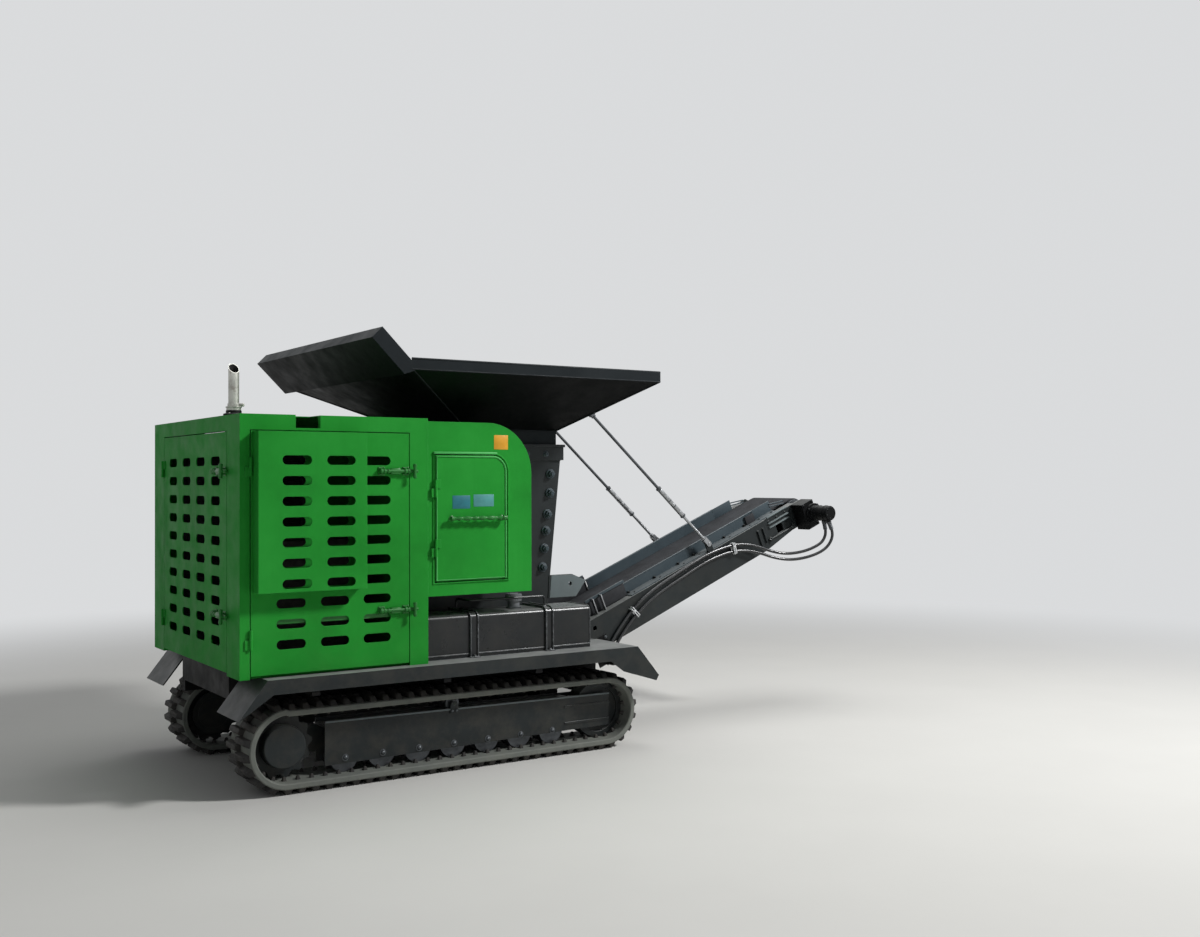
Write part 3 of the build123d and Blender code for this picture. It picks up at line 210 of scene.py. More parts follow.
def make_sides(name, build, material, body, place=STATION, replaces=None):
    """A near side piece and its mirror image on the far side."""
    for side, sign in SIDES:
        piece = make_piece(f"{name}_{side}", build, material, body.format(side=side), place, sign > 0)
        if replaces:
            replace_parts(piece, replaces.format(side=side))


# Materials: all procedural, in object space, so that they are the same from every side


def srgb(r, g, b):
    """Linear colour from 0-255 display values."""
    out = []
    for value in (r, g, b):
        share = value / 255
        out.append(share / 12.92 if share <= 0.04045 else ((share + 0.055) / 1.055) ** 2.4)
    return (*out, 1.0)


def shade(colour, factor):
    return tuple(c * factor for c in colour[:3]) + (1,)


class Nodes:
    """Short calls that build a node tree."""

    def __init__(self, tree):
        self.tree = tree
        tree.nodes.clear()

    def fill(self, node, inputs):
        """Sets inputs, by a socket's name or number, to links or constants."""
        for key, value in inputs.items():
            if hasattr(value, "is_linked"):
                self.tree.links.new(value, node.inputs[key])
            else:
                node.inputs[key].default_value = value

    def add(self, kind, inputs=None, **settings):
        node = self.tree.nodes.new("ShaderNode" + kind)
        for key, value in settings.items():
            setattr(node, key, value)
        self.fill(node, inputs or {})
        return node

    def math(self, operation, first, second):
        return self.add("Math", {0: first, 1: second}, operation=operation).outputs[0]

    def times(self, first, second):
        return self.math("MULTIPLY", first, second)


class Surface(Nodes):
    """A material's node tree."""

    def __init__(self, name):
        self.material = bpy.data.materials.new(name)
        self.material.use_nodes = True
        super().__init__(self.material.node_tree)
        self.shader = self.add("BsdfPrincipled")
        self.output = self.add("OutputMaterial", {0: self.shader.outputs[0]})
        coordinates = self.add("TexCoord").outputs
        self.place, self.normal = coordinates["Object"], coordinates["Normal"]

    def set(self, **values):
        """The shader's own sockets: underscores stand for spaces."""
        self.fill(self.shader, {key.replace("_", " "): value for key, value in values.items()})

    def noise(self, scale, detail=4, rough=0.55, stretch=None):
        place = self.place
        if stretch:
            place = self.add("Mapping", {"Scale": stretch, "Vector": place}).outputs[0]
        inputs = {"Scale": scale, "Detail": detail, "Roughness": rough, "Vector": place}
        return self.add("TexNoise", inputs).outputs["Fac"]

    def voronoi(self, scale):
        return self.add("TexVoronoi", {"Scale": scale, "Vector": self.place}).outputs["Distance"]

    def ramp(self, source, stops):
        """Colour ramp: stops are (position, colour or grey)."""
        node = self.add("ValToRGB", {0: source})
        elements = node.color_ramp.elements
        while len(elements) < len(stops):
            elements.new(0.5)
        for element, (position, colour) in zip(elements, stops):
            element.position = position
            element.color = colour if isinstance(colour, tuple) else (colour, colour, colour, 1)
        return node.outputs[0]

    def mix(self, factor, first, second):
        return self.add("Mix", {"Factor": factor, 6: first, 7: second}, data_type="RGBA").outputs[2]

    def along_z(self, vector, low, high):
        """0 where a vector's Z is low or less, 1 where it is high or more."""
        z = self.add("SeparateXYZ", {0: vector}).outputs["Z"]
        return self.add("MapRange", {"From Min": low, "From Max": high, "Value": z}).outputs[0]

    def edge(self, radius):
        """1 along sharp edges, 0 on flats."""
        rounded = self.add("Bevel", {"Radius": radius}, samples=6).outputs[0]
        flat = self.add("NewGeometry").outputs["Normal"]
        dot = self.add("VectorMath", {0: rounded, 1: flat}, operation="DOT_PRODUCT")
        return self.ramp(dot.outputs["Value"], [(0.86, 1.0), (0.985, 0.0)])

    def bump(self, source, strength, distance, round_edges=None):
        inputs = {"Strength": strength, "Distance": distance, "Height": source}
        if round_edges:
            inputs["Normal"] = self.add("Bevel", {"Radius": round_edges}, samples=4).outputs[0]
        self.set(Normal=self.add("Bump", inputs).outputs[0])


# The light grey laid on upward faces is partly dust and partly a painted highlight on tops.
LOW_DUST, TOP_DUST_AND_HIGHLIGHT = srgb(122, 113, 98), srgb(168, 170, 168)
# The near black laid on downward faces is painted shade on undersides.
UNDERSIDE_SHADE, RUST = srgb(2, 3, 3), srgb(96, 66, 46)


def paint(name, colour, worn_and_highlight, rough, coat, dust, top_dust_and_highlight, gloss, wave=0.35, edge=0.0025, under=0.0):
    """Sprayed paint: slight shade changes, soft waves of the sheet, worn edges with a painted
    edge highlight, dust low down, dust and a painted highlight on what faces up, and painted
    shade on undersides where asked."""
    n = Surface(name)
    colour = srgb(*colour)
    darker = shade(colour, 0.80)
    lighter = tuple(min(1, c * 1.14 + 0.004) for c in colour[:3]) + (1,)
    base = n.ramp(n.noise(2.2, 5, 0.6), [(0.30, darker), (0.50, colour), (0.72, lighter)])
    streaks = n.ramp(n.noise(3.0, 6, 0.6, stretch=(9.0, 9.0, 0.7)), [(0.52, 0.0), (0.78, 1.0)])
    base = n.mix(n.times(streaks, 0.22), base, darker)
    low = n.math("SUBTRACT", 1.0, n.along_z(n.place, 0.10, 1.25))
    grime = n.ramp(n.noise(7.0, 8, 0.68), [(0.42, 0.0), (0.70, 1.0)])
    dust_share = n.times(n.times(low, grime), dust)
    base = n.mix(dust_share, base, LOW_DUST)
    cover = n.ramp(n.noise(5.0, 7, 0.62), [(0.30, 0.55), (0.68, 1.0)])
    # Upward faces: dust and a painted highlight.
    base = n.mix(n.times(n.times(n.along_z(n.normal, 0.60, 0.96), cover), top_dust_and_highlight), base, TOP_DUST_AND_HIGHLIGHT)
    # Painted shade on faces that point down.
    if under:
        down = n.math("SUBTRACT", 1.0, n.along_z(n.normal, -0.55, -0.15))
        base = n.mix(n.times(down, under), base, UNDERSIDE_SHADE)
    # Worn edges, lightened also as a painted edge highlight.
    edge_wear_and_highlight = n.times(n.edge(edge), n.ramp(n.noise(26.0, 4), [(0.36, 0.15), (0.62, 0.75)]))
    rough_map = n.ramp(n.noise(9.0, 6, 0.6), [(0.3, rough * 0.82), (0.7, min(1, rough * 1.3))])
    n.set(Base_Color=n.mix(edge_wear_and_highlight, base, srgb(*worn_and_highlight)),
          Roughness=n.math("ADD", rough_map, n.times(dust_share, 0.4)),
          Coat_Weight=coat, Coat_Roughness=0.25, Specular_IOR_Level=gloss)
    sheet = n.math("ADD", n.times(n.noise(1.7, 2), wave), n.times(n.noise(150.0, 2), 0.012))
    n.bump(sheet, 0.35, 0.02, edge)
    return n.material


def rubber(name, colour, dust_colour, dust, grain=260.0):
    """Moulded rubber with fine grain and patches of dry dust."""
    n = Surface(name)
    dust_colour = srgb(*dust_colour)
    cloud = n.ramp(n.noise(6.0, 8, 0.66), [(0.36, 0.0), (0.68, 1.0)])
    base = n.mix(n.times(cloud, dust), srgb(*colour), dust_colour)
    scuff = n.times(n.edge(0.004), n.ramp(n.noise(40.0, 3), [(0.35, 0.1), (0.65, 0.6)]))
    n.set(Base_Color=n.mix(scuff, base, dust_colour), Specular_IOR_Level=0.35,
          Roughness=n.ramp(n.noise(14.0, 5), [(0.3, 0.62), (0.7, 0.86)]))
    n.bump(n.math("ADD", n.noise(grain, 3), n.times(n.noise(30.0, 4), 2.0)), 0.30, 0.0015, 0.002)
    return n.material


def bare_metal(name, colour, rough, rust=0.0):
    """Steel with fine scratches, stains and, where asked, rust."""
    n = Surface(name)
    colour = srgb(*colour)
    stain = n.ramp(n.noise(11.0, 7, 0.65), [(0.35, shade(colour, 0.62)), (0.65, colour)])
    if rust:
        spots = n.ramp(n.noise(19.0, 8, 0.7), [(0.55 - rust * 0.2, 0.0), (0.72, 1.0)])
        stain = n.mix(n.times(spots, 0.75), stain, RUST)
    n.set(Base_Color=stain, Metallic=0.65 if rust else 0.9,
          Roughness=n.ramp(n.noise(60.0, 5, 0.7), [(0.3, rough * 0.75), (0.7, min(1.0, rough * 1.5))]))
    n.bump(n.noise(240.0, 3), 0.15, 0.0008, 0.0015)
    return n.material


def cast(name, colour, metallic):
    """Rough cast or rolled steel."""
    n = Surface(name)
    colour = srgb(*colour)
    n.set(Base_Color=n.ramp(n.noise(13.0, 8, 0.7), [(0.32, shade(colour, 0.55)), (0.66, colour)]),
          Roughness=n.ramp(n.noise(30.0, 5), [(0.3, 0.45), (0.7, 0.75)]), Metallic=metallic)
    n.bump(n.math("ADD", n.noise(90.0, 6, 0.7), n.voronoi(55.0)), 0.4, 0.002, 0.003)
    return n.material


def plastic(name, colour, rough):
    n = Surface(name)
    colour = srgb(*colour)
    n.set(Base_Color=n.ramp(n.noise(24.0, 3), [(0.35, shade(colour, 0.86)), (0.6, colour)]),
          Roughness=rough)
    n.bump(n.noise(220.0, 2), 0.12, 0.0006)
    return n.material


# Paints. Columns: colour, worn edges and painted edge highlight, roughness, clear coat, dust low
# down, dust and painted highlight on tops, gloss
GREEN = paint("green_paint", (38, 144, 50), (84, 184, 98), 0.48, 0.0, 0.08, 0.0, 0.06)
# Darker copy of the green paint: painted shade on the latches, the small door's handle and the rail inside
# the side door.
SHADED_GREEN = paint("shaded_green_paint", (26, 112, 38), (84, 164, 88), 0.36, 0.1, 0.12, 0.0, 0.3)
# Lighter copy of the green paint: painted highlight on the small door's ledge and rim.
LIT_GREEN = paint("lit_green_paint", (74, 172, 88), (110, 190, 120), 0.40, 0.0, 0.05, 0.0, 0.2)
DARK = paint("dark_paint", (30, 35, 36), (104, 110, 112), 0.42, 0.05, 0.14, 0.72, 0.25)
SKIRT = paint("skirt_paint", (58, 69, 75), (112, 120, 126), 0.42, 0.05, 0.14, 0.35, 0.25)
RAIL = paint("rail_paint", (96, 106, 108), (150, 156, 158), 0.40, 0.05, 0.1, 0.3, 0.35)
BLACK = paint("black_paint", (8, 9, 10), (62, 66, 70), 0.50, 0.0, 0.06, 0.25, 0.12)
# The hopper's undersides get painted shade.
HOPPER = paint("hopper_paint", (24, 30, 33), (70, 78, 84), 0.50, 0.0, 0.06, 0.25, 0.12, under=0.95)
# On the tank, the pale worn edges and the top dust are mostly a painted highlight along its rounded top
# edge.
TANK = paint("tank_paint", (16, 20, 22), (186, 190, 194), 0.28, 0.20, 0.10, 0.45, 0.30, wave=0.5,
             edge=0.005)
HOSE = paint("hose_rubber", (22, 24, 27), (70, 72, 76), 0.24, 0.3, 0.0, 0.0, 0.5, wave=0.05)
TRACK = rubber("track_rubber", (36, 36, 36), (88, 84, 77), 0.40)
BAND = rubber("band_rubber", (100, 104, 99), (128, 129, 120), 0.50)
BELT = rubber("belt_rubber", (32, 33, 36), (70, 73, 77), 0.35, grain=180.0)
STEEL = bare_metal("bright_steel", (172, 174, 176), 0.34)
PIPE = bare_metal("pipe_steel", (206, 206, 198), 0.36, rust=0.03)
DULL = bare_metal("dull_steel", (92, 95, 98), 0.42)
BOLTS = bare_metal("bolt_steel", (98, 102, 105), 0.38)
CAST = cast("cast_steel", (70, 68, 66), 0.55)
CORE = cast("core_metal", (58, 60, 62), 0.2)
TIES = plastic("tie_plastic", (214, 216, 218), 0.45)
CAPS = plastic("cap_plastic", (110, 113, 116), 0.42)
SOOT = plastic("soot", (12, 12, 12), 0.9)
AMBER = plastic("amber_plate", (222, 160, 32), 0.4)
BLUE = plastic("blue_plate", (22, 112, 124), 0.4)
TEAL = plastic("teal_plate", (74, 148, 146), 0.4)

# Nodes of the part by material; {side} stands for near and far
NODE_MATERIALS = (
    (GREEN, "housing_rear_frame housing_side_{side} housing_roof housing_bulkhead side_cover_{side} "
            "side_door_{side} side_door_guard rear_door crusher_door_{side} side_latches_{side} "
            "rear_latches crusher_handle_{side}"),
    (DARK, "conveyor_pivot_ears decks crusher_body conveyor_frame conveyor_ties track_frames "
           "sprockets idlers"),
    # Chassis rails, cross members and deck brackets take the black paint as painted shade under the decks.
    (BLACK, "conveyor_motor hose_ports chassis_rails chassis_cross_members deck_brackets"),
    (SKIRT, "conveyor_skirts"),
    (TANK, "tanks tank_straps"),
    (HOPPER, "hopper"),
    (TRACK, "track_belt_{side}"),
    (BELT, "conveyor_belt"),
    (HOSE, "hose_upper hose_lower"),
    (STEEL, "stay_lower_{side}"),
    (PIPE, "exhaust_stack"),
    (DULL, "track_rollers_{side} conveyor_drums conveyor_rollers stay_upper_{side}"),
    (CAST, "engine_block fixed_jaw swing_jaw flywheels"),
    (CAPS, "tank_caps"),
)
for material, names in NODE_MATERIALS:
    for name in sorted({name.format(side=side) for name in names.split() for side, _ in SIDES}):
        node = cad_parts[name]
        node.data.materials.clear()
        node.data.materials.append(material)


# Camera: the photograph's own view, with its principal point in the middle of 1200 x 937

IMAGE_WIDTH = 1200
FOCAL_PX = 1263
CAMERA_PLACE = (-1.958, -6.754, 1.55)
YAW, PITCH, ROLL = math.radians(34.02), math.radians(0.56), math.radians(-0.16)


def make_camera():
    data = bpy.data.cameras.new("camera")
    data.sensor_fit = "HORIZONTAL"
    data.sensor_width = 36
    data.lens = data.sensor_width * FOCAL_PX / IMAGE_WIDTH
    data.clip_start, data.clip_end = 0.1, 300
    camera = bpy.data.objects.new("camera", data)
    ahead = Vector((math.sin(YAW) * math.cos(PITCH), math.cos(YAW) * math.cos(PITCH), math.sin(PITCH)))
    right = Vector((math.cos(YAW), -math.sin(YAW), 0))
    up = right.cross(ahead)
    level_right = right * math.cos(ROLL) + up * math.sin(ROLL)
    level_up = up * math.cos(ROLL) - right * math.sin(ROLL)
    turn = Matrix((level_right, level_up, -ahead)).transposed().to_4x4()
    camera.matrix_world = Matrix.Translation(point(*CAMERA_PLACE)) @ turn
    bpy.context.collection.objects.link(camera)
    bpy.context.scene.camera = camera


make_camera()


# Hoses: their routes are the part's own, in metres

HOSE_POINTS = {
    "hose_upper": [
        (2.425, -0.304, 0.470), (2.478, -0.304, 0.556), (2.552, -0.304, 0.652), (2.650, -0.304, 0.756),
        (2.790, -0.304, 0.856), (2.985, -0.304, 0.952), (3.215, -0.304, 1.062), (3.390, -0.306, 1.112),
        (3.520, -0.316, 1.130), (3.640, -0.336, 1.112), (3.745, -0.362, 1.072), (3.860, -0.396, 1.052),
        (3.980, -0.440, 1.070), (4.070, -0.478, 1.112), (4.108, -0.488, 1.150), (4.122, -0.493, 1.204),
        (4.103, -0.494, 1.263),
    ],
    "hose_lower": [
        (2.462, -0.304, 0.452), (2.510, -0.304, 0.530), (2.580, -0.304, 0.622), (2.682, -0.304, 0.728),
        (2.812, -0.304, 0.820), (3.000, -0.304, 0.914), (3.228, -0.304, 1.022), (3.400, -0.306, 1.074),
        (3.530, -0.318, 1.088), (3.652, -0.342, 1.068), (3.758, -0.372, 1.030), (3.876, -0.412, 1.012),
        (3.998, -0.462, 1.032), (4.092, -0.510, 1.078), (4.140, -0.530, 1.144), (4.138, -0.538, 1.211),
        (4.107, -0.538, 1.261),
    ],
}
HOSE_R = 0.010
TIE_PLACES = (2.645, 3.455)


def hose_curve(name):
    """Smooth hose on the part's route."""
    curve = bpy.data.curves.new(name + "_run", "CURVE")
    curve.dimensions = "3D"
    spline = curve.splines.new("NURBS")
    places = [point(*p) for p in HOSE_POINTS[name]]
    spline.points.add(len(places) - 1)
    for control, place in zip(spline.points, places):
        control.co = (*place, 1)
    spline.order_u = 3
    spline.use_endpoint_u = True
    spline.resolution_u = 8
    curve.resolution_u = 8
    curve.bevel_depth = HOSE_R
    curve.bevel_resolution = 4
    curve.use_fill_caps = True
    curve.materials.append(HOSE)
    piece = bpy.data.objects.new(name + "_run", curve)
    bpy.context.collection.objects.link(piece)
    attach(piece, "conveyor")
    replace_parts(piece, name)
    return piece


hoses = {name: hose_curve(name) for name in HOSE_POINTS}


def hose_line(name):
    """Points along the hose's smooth middle line."""
    curve = hoses[name].data.copy()
    curve.bevel_depth = 0
    probe = bpy.data.objects.new("probe", curve)
    bpy.context.collection.objects.link(probe)
    mesh = bpy.data.meshes.new_from_object(probe.evaluated_get(bpy.context.evaluated_depsgraph_get()))
    line = [v.co.copy() for v in mesh.vertices]
    bpy.data.meshes.remove(mesh)
    bpy.data.objects.remove(probe)
    bpy.data.curves.remove(curve)
    return line


def hose_fittings():
    """Crimped ferrules and hexagon nuts at both ends of each hose."""
    bm = bmesh.new()
    ferrule = [(0.0150, -0.002), (0.0150, 0.010)]
    for start in (0.012, 0.019, 0.026, 0.033, 0.040):
        ferrule += [(0.0128, start), (0.0142, start + 0.002), (0.0142, start + 0.005)]
    ferrule.append((0.0112, 0.049))
    for name in HOSE_POINTS:
        line = hose_line(name)
        for end, inward in ((line[0], line[4]), (line[-1], line[-5])):
            along = (inward - end).normalized()
            add_lathe(bm, end, along, ferrule, 18)
            add_collar(bm, end - along * 0.014, along, 0.0165, 0.0175, 0.013, 6)
    finish_mesh("hose_fittings", bm, DULL, "conveyor")


def hose_ties():
    """Pale ties that hold both hoses to the beam: two flattened loops and a lock each."""
    bm = bmesh.new()
    upper, lower = hose_line("hose_upper"), hose_line("hose_lower")
    inward = Vector((0, 1, 0))
    depth = HOSE_R + 0.004
    for x in TIE_PLACES:
        near_upper = min(upper, key=lambda p: abs(p.x - REAR - x))
        near_lower = min(lower, key=lambda p: (p - near_upper).length)
        middle = (near_upper + near_lower) / 2
        across = (near_upper - near_lower).normalized()
        half = (near_upper - near_lower).length / 2 + depth
        along = across.cross(inward).normalized()
        for shift in (-0.007, 0.007):
            loop = [middle + across * max(-1, min(1, wide)) * half + inward * max(-1, min(1, deep)) * depth
                    + along * shift for wide, deep in circle((0, 0), 1.5, 20)]
            add_tube(bm, loop, 0.0042, 8, closed=True)
        add_block(bm, (-0.008, -0.006, -0.005), (0.008, 0.006, 0.005), 0.0015,
                  Matrix.Translation(middle - inward * depth + across * half * 0.4))
    finish_mesh("hose_ties", bm, TIES, "conveyor")


hose_fittings()
hose_ties()


# Tracks: closed rubber loops with two staggered rows of lugs outside and two rows of guide
# horns inside

SPROCKET = (0.263, 0.200)
IDLER = (2.165, 0.192)
BELT_CENTRE = 0.569
BELT_HALF = 0.150
BELT_THICK = 0.030
BELT_RUN = IDLER[0] - SPROCKET[0]
BELT_LEAN = math.asin((SPROCKET[1] - IDLER[1]) / BELT_RUN)
FRONT_ARC = IDLER[1] * (math.pi - BELT_LEAN)
TOP_RUN = BELT_RUN * math.cos(BELT_LEAN)
REAR_ARC = SPROCKET[1] * (math.pi + BELT_LEAN)
BELT_LENGTH = BELT_RUN + FRONT_ARC + TOP_RUN + REAR_ARC
LUG_COUNT = 70
LUG_PITCH = BELT_LENGTH / LUG_COUNT
LUG_HEIGHT = 0.028
LUG_ROOT, LUG_TIP = 0.020, 0.0135
LUG_END = BELT_HALF - 0.004
HORN_ROWS = ((-0.084, -0.060), (0.060, 0.084))
HORN_HEIGHT = 0.020
ROLLER_FIRST, ROLLER_PITCH, ROLLER_COUNT, ROLLER_Z = 0.589, 0.208, 7, 0.135
PLATE_OUTER = 0.639
PLATE_EDGE = ((0.479, 0.331), (2.225, 0.313))
CARRIER_X, CARRIER_Z = 1.211, 0.350


def belt_place(distance):
    """Point (x, z) on the outside of the belt and how far its outward normal has turned."""
    distance %= BELT_LENGTH
    bottom = LUG_HEIGHT
    if distance < BELT_RUN:
        return SPROCKET[0] + distance, bottom, 0.0
    distance -= BELT_RUN
    if distance < FRONT_ARC:
        turn = distance / IDLER[1]
        return IDLER[0] + IDLER[1] * math.sin(turn), bottom + IDLER[1] * (1 - math.cos(turn)), turn
    distance -= FRONT_ARC
    turn = math.pi - BELT_LEAN
    if distance < TOP_RUN:
        x = IDLER[0] + IDLER[1] * math.sin(turn) + distance * math.cos(turn)
        z = bottom + IDLER[1] * (1 - math.cos(turn)) + distance * math.sin(turn)
        return x, z, turn
    turn += (distance - TOP_RUN) / SPROCKET[1]
    return SPROCKET[0] + SPROCKET[1] * math.sin(turn), bottom + SPROCKET[1] * (1 - math.cos(turn)), turn


def belt_spot(distance, along, y, out):
    """Point beside a place on the belt: along it, across the machine and outward."""
    x, z, turn = belt_place(distance)
    return Vector((x + along * math.cos(turn) + out * math.sin(turn), y - BELT_CENTRE,
                   z + along * math.sin(turn) - out * math.cos(turn)))


def belt_corners(distance, half, y0, y1, out):
    """Four corners of a level of a lug or horn, half its length each way along the belt."""
    return [belt_spot(distance, along, y, out)
            for along, y in ((-half, y0), (half, y0), (half, y1), (-half, y1))]


def build_track_band(bm):
    edge, half, thick = 0.005, BELT_HALF, BELT_THICK
    section = [(edge - half, 0), (-half, -edge), (-half, edge - thick), (edge - half, -thick),
               (half - edge, -thick), (half, edge - thick), (half, -edge), (half - edge, 0)]
    steps = 4 * LUG_COUNT
    add_sweep(bm, [[belt_spot(BELT_LENGTH * step / steps, 0, y, out) for y, out in section]
                   for step in range(steps)], closed=True)


def build_track_shoes(bm):
    for index in range(LUG_COUNT):
        for row, shift in ((-1, 0), (1, 0.5)):
            centre = (index + shift) * LUG_PITCH
            base = belt_corners(centre, LUG_ROOT, -0.016 * row, LUG_END * row, -0.003)
            tip = belt_corners(centre, LUG_TIP, -0.009 * row, (LUG_END - 0.018) * row, LUG_HEIGHT)
            add_frustum(bm, base, tip, 0.0025)
        for y0, y1 in HORN_ROWS:
            base = belt_corners(index * LUG_PITCH, 0.013, y0, y1, 0.003 - BELT_THICK)
            tip = belt_corners(index * LUG_PITCH, 0.006, y0 + 0.005, y1 - 0.005, -BELT_THICK - HORN_HEIGHT)
            add_frustum(bm, base, tip, 0.003)


def build_track_fasteners(bm):
    """Roller pins' heads, and the carrier roller's bracket bolts, on the outer plate."""
    for index in range(ROLLER_COUNT):
        add_dome(bm, (ROLLER_FIRST + index * ROLLER_PITCH, -PLATE_OUTER, ROLLER_Z), 0.013, 0.011)
    for x in (CARRIER_X - 0.013, CARRIER_X + 0.013):
        add_bolt(bm, (x, -PLATE_OUTER - 0.010, CARRIER_Z - 0.038), OUT, 0.007, 0.006, washer=False)


def build_plate_edge(bm):
    """Folded top edge of the outer plate; its lighter paint is a painted highlight along the edge."""
    low = [(x, z - 0.009) for x, z in PLATE_EDGE]
    add_plate(bm, [*low, *PLATE_EDGE[::-1]], -PLATE_OUTER - 0.007, -PLATE_OUTER + 0.001, 0.001)


def build_track_trim(bm):
    """Carrier roller's bracket and pin."""
    outline = ((-0.024, -0.052), (0.024, -0.052), (0.024, -0.016), (0.015, 0.012), (-0.015, 0.012),
               (-0.024, -0.016))
    add_plate(bm, [(CARRIER_X + x, CARRIER_Z + z) for x, z in outline], -PLATE_OUTER - 0.010,
              -PLATE_OUTER, 0.002)
    add_rod(bm, (CARRIER_X, -PLATE_OUTER - 0.013, CARRIER_Z), (CARRIER_X, -BELT_CENTRE, CARRIER_Z), 0.011)


make_sides("track_band", build_track_band, BAND, "machine", replaces="track_belt_{side}")
make_sides("track_shoes", build_track_shoes, TRACK, "machine")
make_sides("track_fasteners", build_track_fasteners, BOLTS, "machine")
make_sides("track_trim", build_track_trim, DARK, "machine")
# The plate's top edge in lighter paint: painted highlight.
make_sides("plate_edge", build_plate_edge, RAIL, "machine")


# Housing and covers: latches, handle, lips, rails and blank plates

SIDE_DOOR_EDGE = 0.8925
REAR_DOOR_EDGE = 0.5625
LATCH_HEIGHTS = (0.888, 1.603)
SMALL_DOOR = (1.041, 1.471, 1.022, 1.688)
DOOR_CORNER = 0.085
DOOR_FACE = -0.766
HANDLE_X, HANDLE_Y, HANDLE_Z = (1.113, 1.458), -0.796, 1.353
INNER_RAIL_X, INNER_RAIL_Y, INNER_RAIL_Z = (0.150, 0.850), -0.748, 0.850


def build_latch(bm, edge, y, z):
    """Bolt latch: two base plates with their guides, a knobbed bar and its upright handle."""
    start, end = edge - 0.176, edge + 0.043
    length = end - start
    bar_y = y - 0.016
    guide = [(0.0130, 0), (0.0158, 0.003), (0.0158, 0.009), (0.0132, 0.012), (0.0132, 0.018),
             (0.0158, 0.021), (0.0158, 0.027), (0.0130, 0.030)]
    for x in (start, edge - 0.040):
        add_block(bm, (x, y - 0.004, z - 0.022), (x + 0.036, y, z + 0.022), 0.0012)
        add_lathe(bm, (x + 0.003, bar_y, z), AHEAD, guide, 18)
        for dz in (-0.016, 0.016):
            for dx in (0.006, 0.030):
                add_dome(bm, (x + dx, y - 0.004, z + dz), 0.0034, 0.002, 8)
    add_block(bm, (edge - 0.112, y - 0.021, z - 0.017), (edge - 0.056, y, z + 0.015), 0.005)
    bar = [(0.0080, 0), (0.0098, 0.002)]
    for at in (0.042, 0.138):
        bar += [(0.0094, at), (0.0136, at + 0.004), (0.0136, at + 0.012), (0.0094, at + 0.016)]
    bar += [(0.0098, length - 0.006), (0.0060, length)]
    add_lathe(bm, (start, bar_y, z), AHEAD, bar, 18)
    grip_x = edge + 0.016
    add_rod(bm, (grip_x, bar_y - 0.003, z), (grip_x, bar_y - 0.017, z), 0.0085)
    grip = [(0.004, 0), (0.0096, 0.003), (0.0104, 0.012), (0.0078, 0.026), (0.0082, 0.038),
            (0.0078, 0.050), (0.0104, 0.064), (0.0096, 0.073), (0.004, 0.076)]
    add_lathe(bm, (grip_x, bar_y - 0.019, z - 0.038), UP, grip, 16)


def build_side_latches(bm):
    for z in LATCH_HEIGHTS:
        build_latch(bm, SIDE_DOOR_EDGE, -HOUSE_HALF, z)


def build_rear_latches(bm):
    """The side latches' pattern turned to face rearward across the door's edge."""
    for z in LATCH_HEIGHTS:
        build_latch(bm, 0, 0, z)
    turn = Matrix.Rotation(-math.pi / 2, 4, "Z")
    bmesh.ops.transform(bm, matrix=Matrix.Translation((0, -REAR_DOOR_EDGE, 0)) @ turn, verts=bm.verts[:])


def build_small_handle(bm):
    """Bolt handle across the small door: bar with knobs and ball end, on two posts."""
    x0, x1 = HANDLE_X
    length = x1 - x0
    bar = [(0.0060, 0), (0.0125, 0.004), (0.0125, 0.016), (0.0092, 0.020)]
    for at, wide in ((0.040, 0.022), (0.078, 0.040), (0.132, 0.024), (0.170, 0.034), (0.222, 0.046),
                     (0.286, 0.020)):
        bar += [(0.0090, at), (0.0124, at + 0.006), (0.0132, at + wide - 0.007), (0.0090, at + wide)]
    bar += [(0.0092, length - 0.034), (0.0155, length - 0.026), (0.0155, length - 0.008), (0.0060, length)]
    add_lathe(bm, (x0, HANDLE_Y, HANDLE_Z), AHEAD, bar, 18)
    post = [(0.0150, 0), (0.0150, 0.003), (0.0088, 0.006), (0.0088, 0.024), (0.0120, 0.028)]
    for x in (x0 + 0.020, x1 - 0.020):
        add_lathe(bm, (x, DOOR_FACE, HANDLE_Z), OUT, post, 16)


def door_outline(y, grow):
    """The small door's outline with its round corner, grown by a margin, at one depth."""
    x0, x1, z0, z1 = SMALL_DOOR
    corner = DOOR_CORNER + grow
    bend = arc((x1 + grow - corner, z1 + grow - corner), corner, 0, 1, 8)
    corners = [(x0 - grow, z0 - grow), (x1 + grow, z0 - grow), *bend, (x0 - grow, z1 + grow)]
    return [(x, y, z) for x, z in corners]


def build_door_lip(bm):
    """Half-round bead round the small door's opening in the cover."""
    add_tube(bm, door_outline(-HOUSE_HALF - 0.0005, 0.0105), 0.0062, closed=True)


def build_door_rim(bm):
    """Raised rim folded round the small door's own edge."""
    add_tube(bm, door_outline(DOOR_FACE - 0.0005, -0.007), 0.0048, closed=True)


def build_door_ledge(bm):
    """Folded ledge over the small door."""
    x0, x1, _, z1 = SMALL_DOOR
    add_block(bm, (x0 - 0.012, -HOUSE_HALF - 0.013, z1 + 0.006),
              (x1 - 0.060, -HOUSE_HALF + 0.001, z1 + 0.019), 0.004)


def build_inner_rail(bm):
    """Stiffening angle inside the side door, behind the second slot row from below."""
    x0, x1 = INNER_RAIL_X
    for depth, height in ((0.004, 0.060), (0.032, 0.004)):
        add_block(bm, (x0, INNER_RAIL_Y, INNER_RAIL_Z), (x1, INNER_RAIL_Y + depth, INNER_RAIL_Z + height))


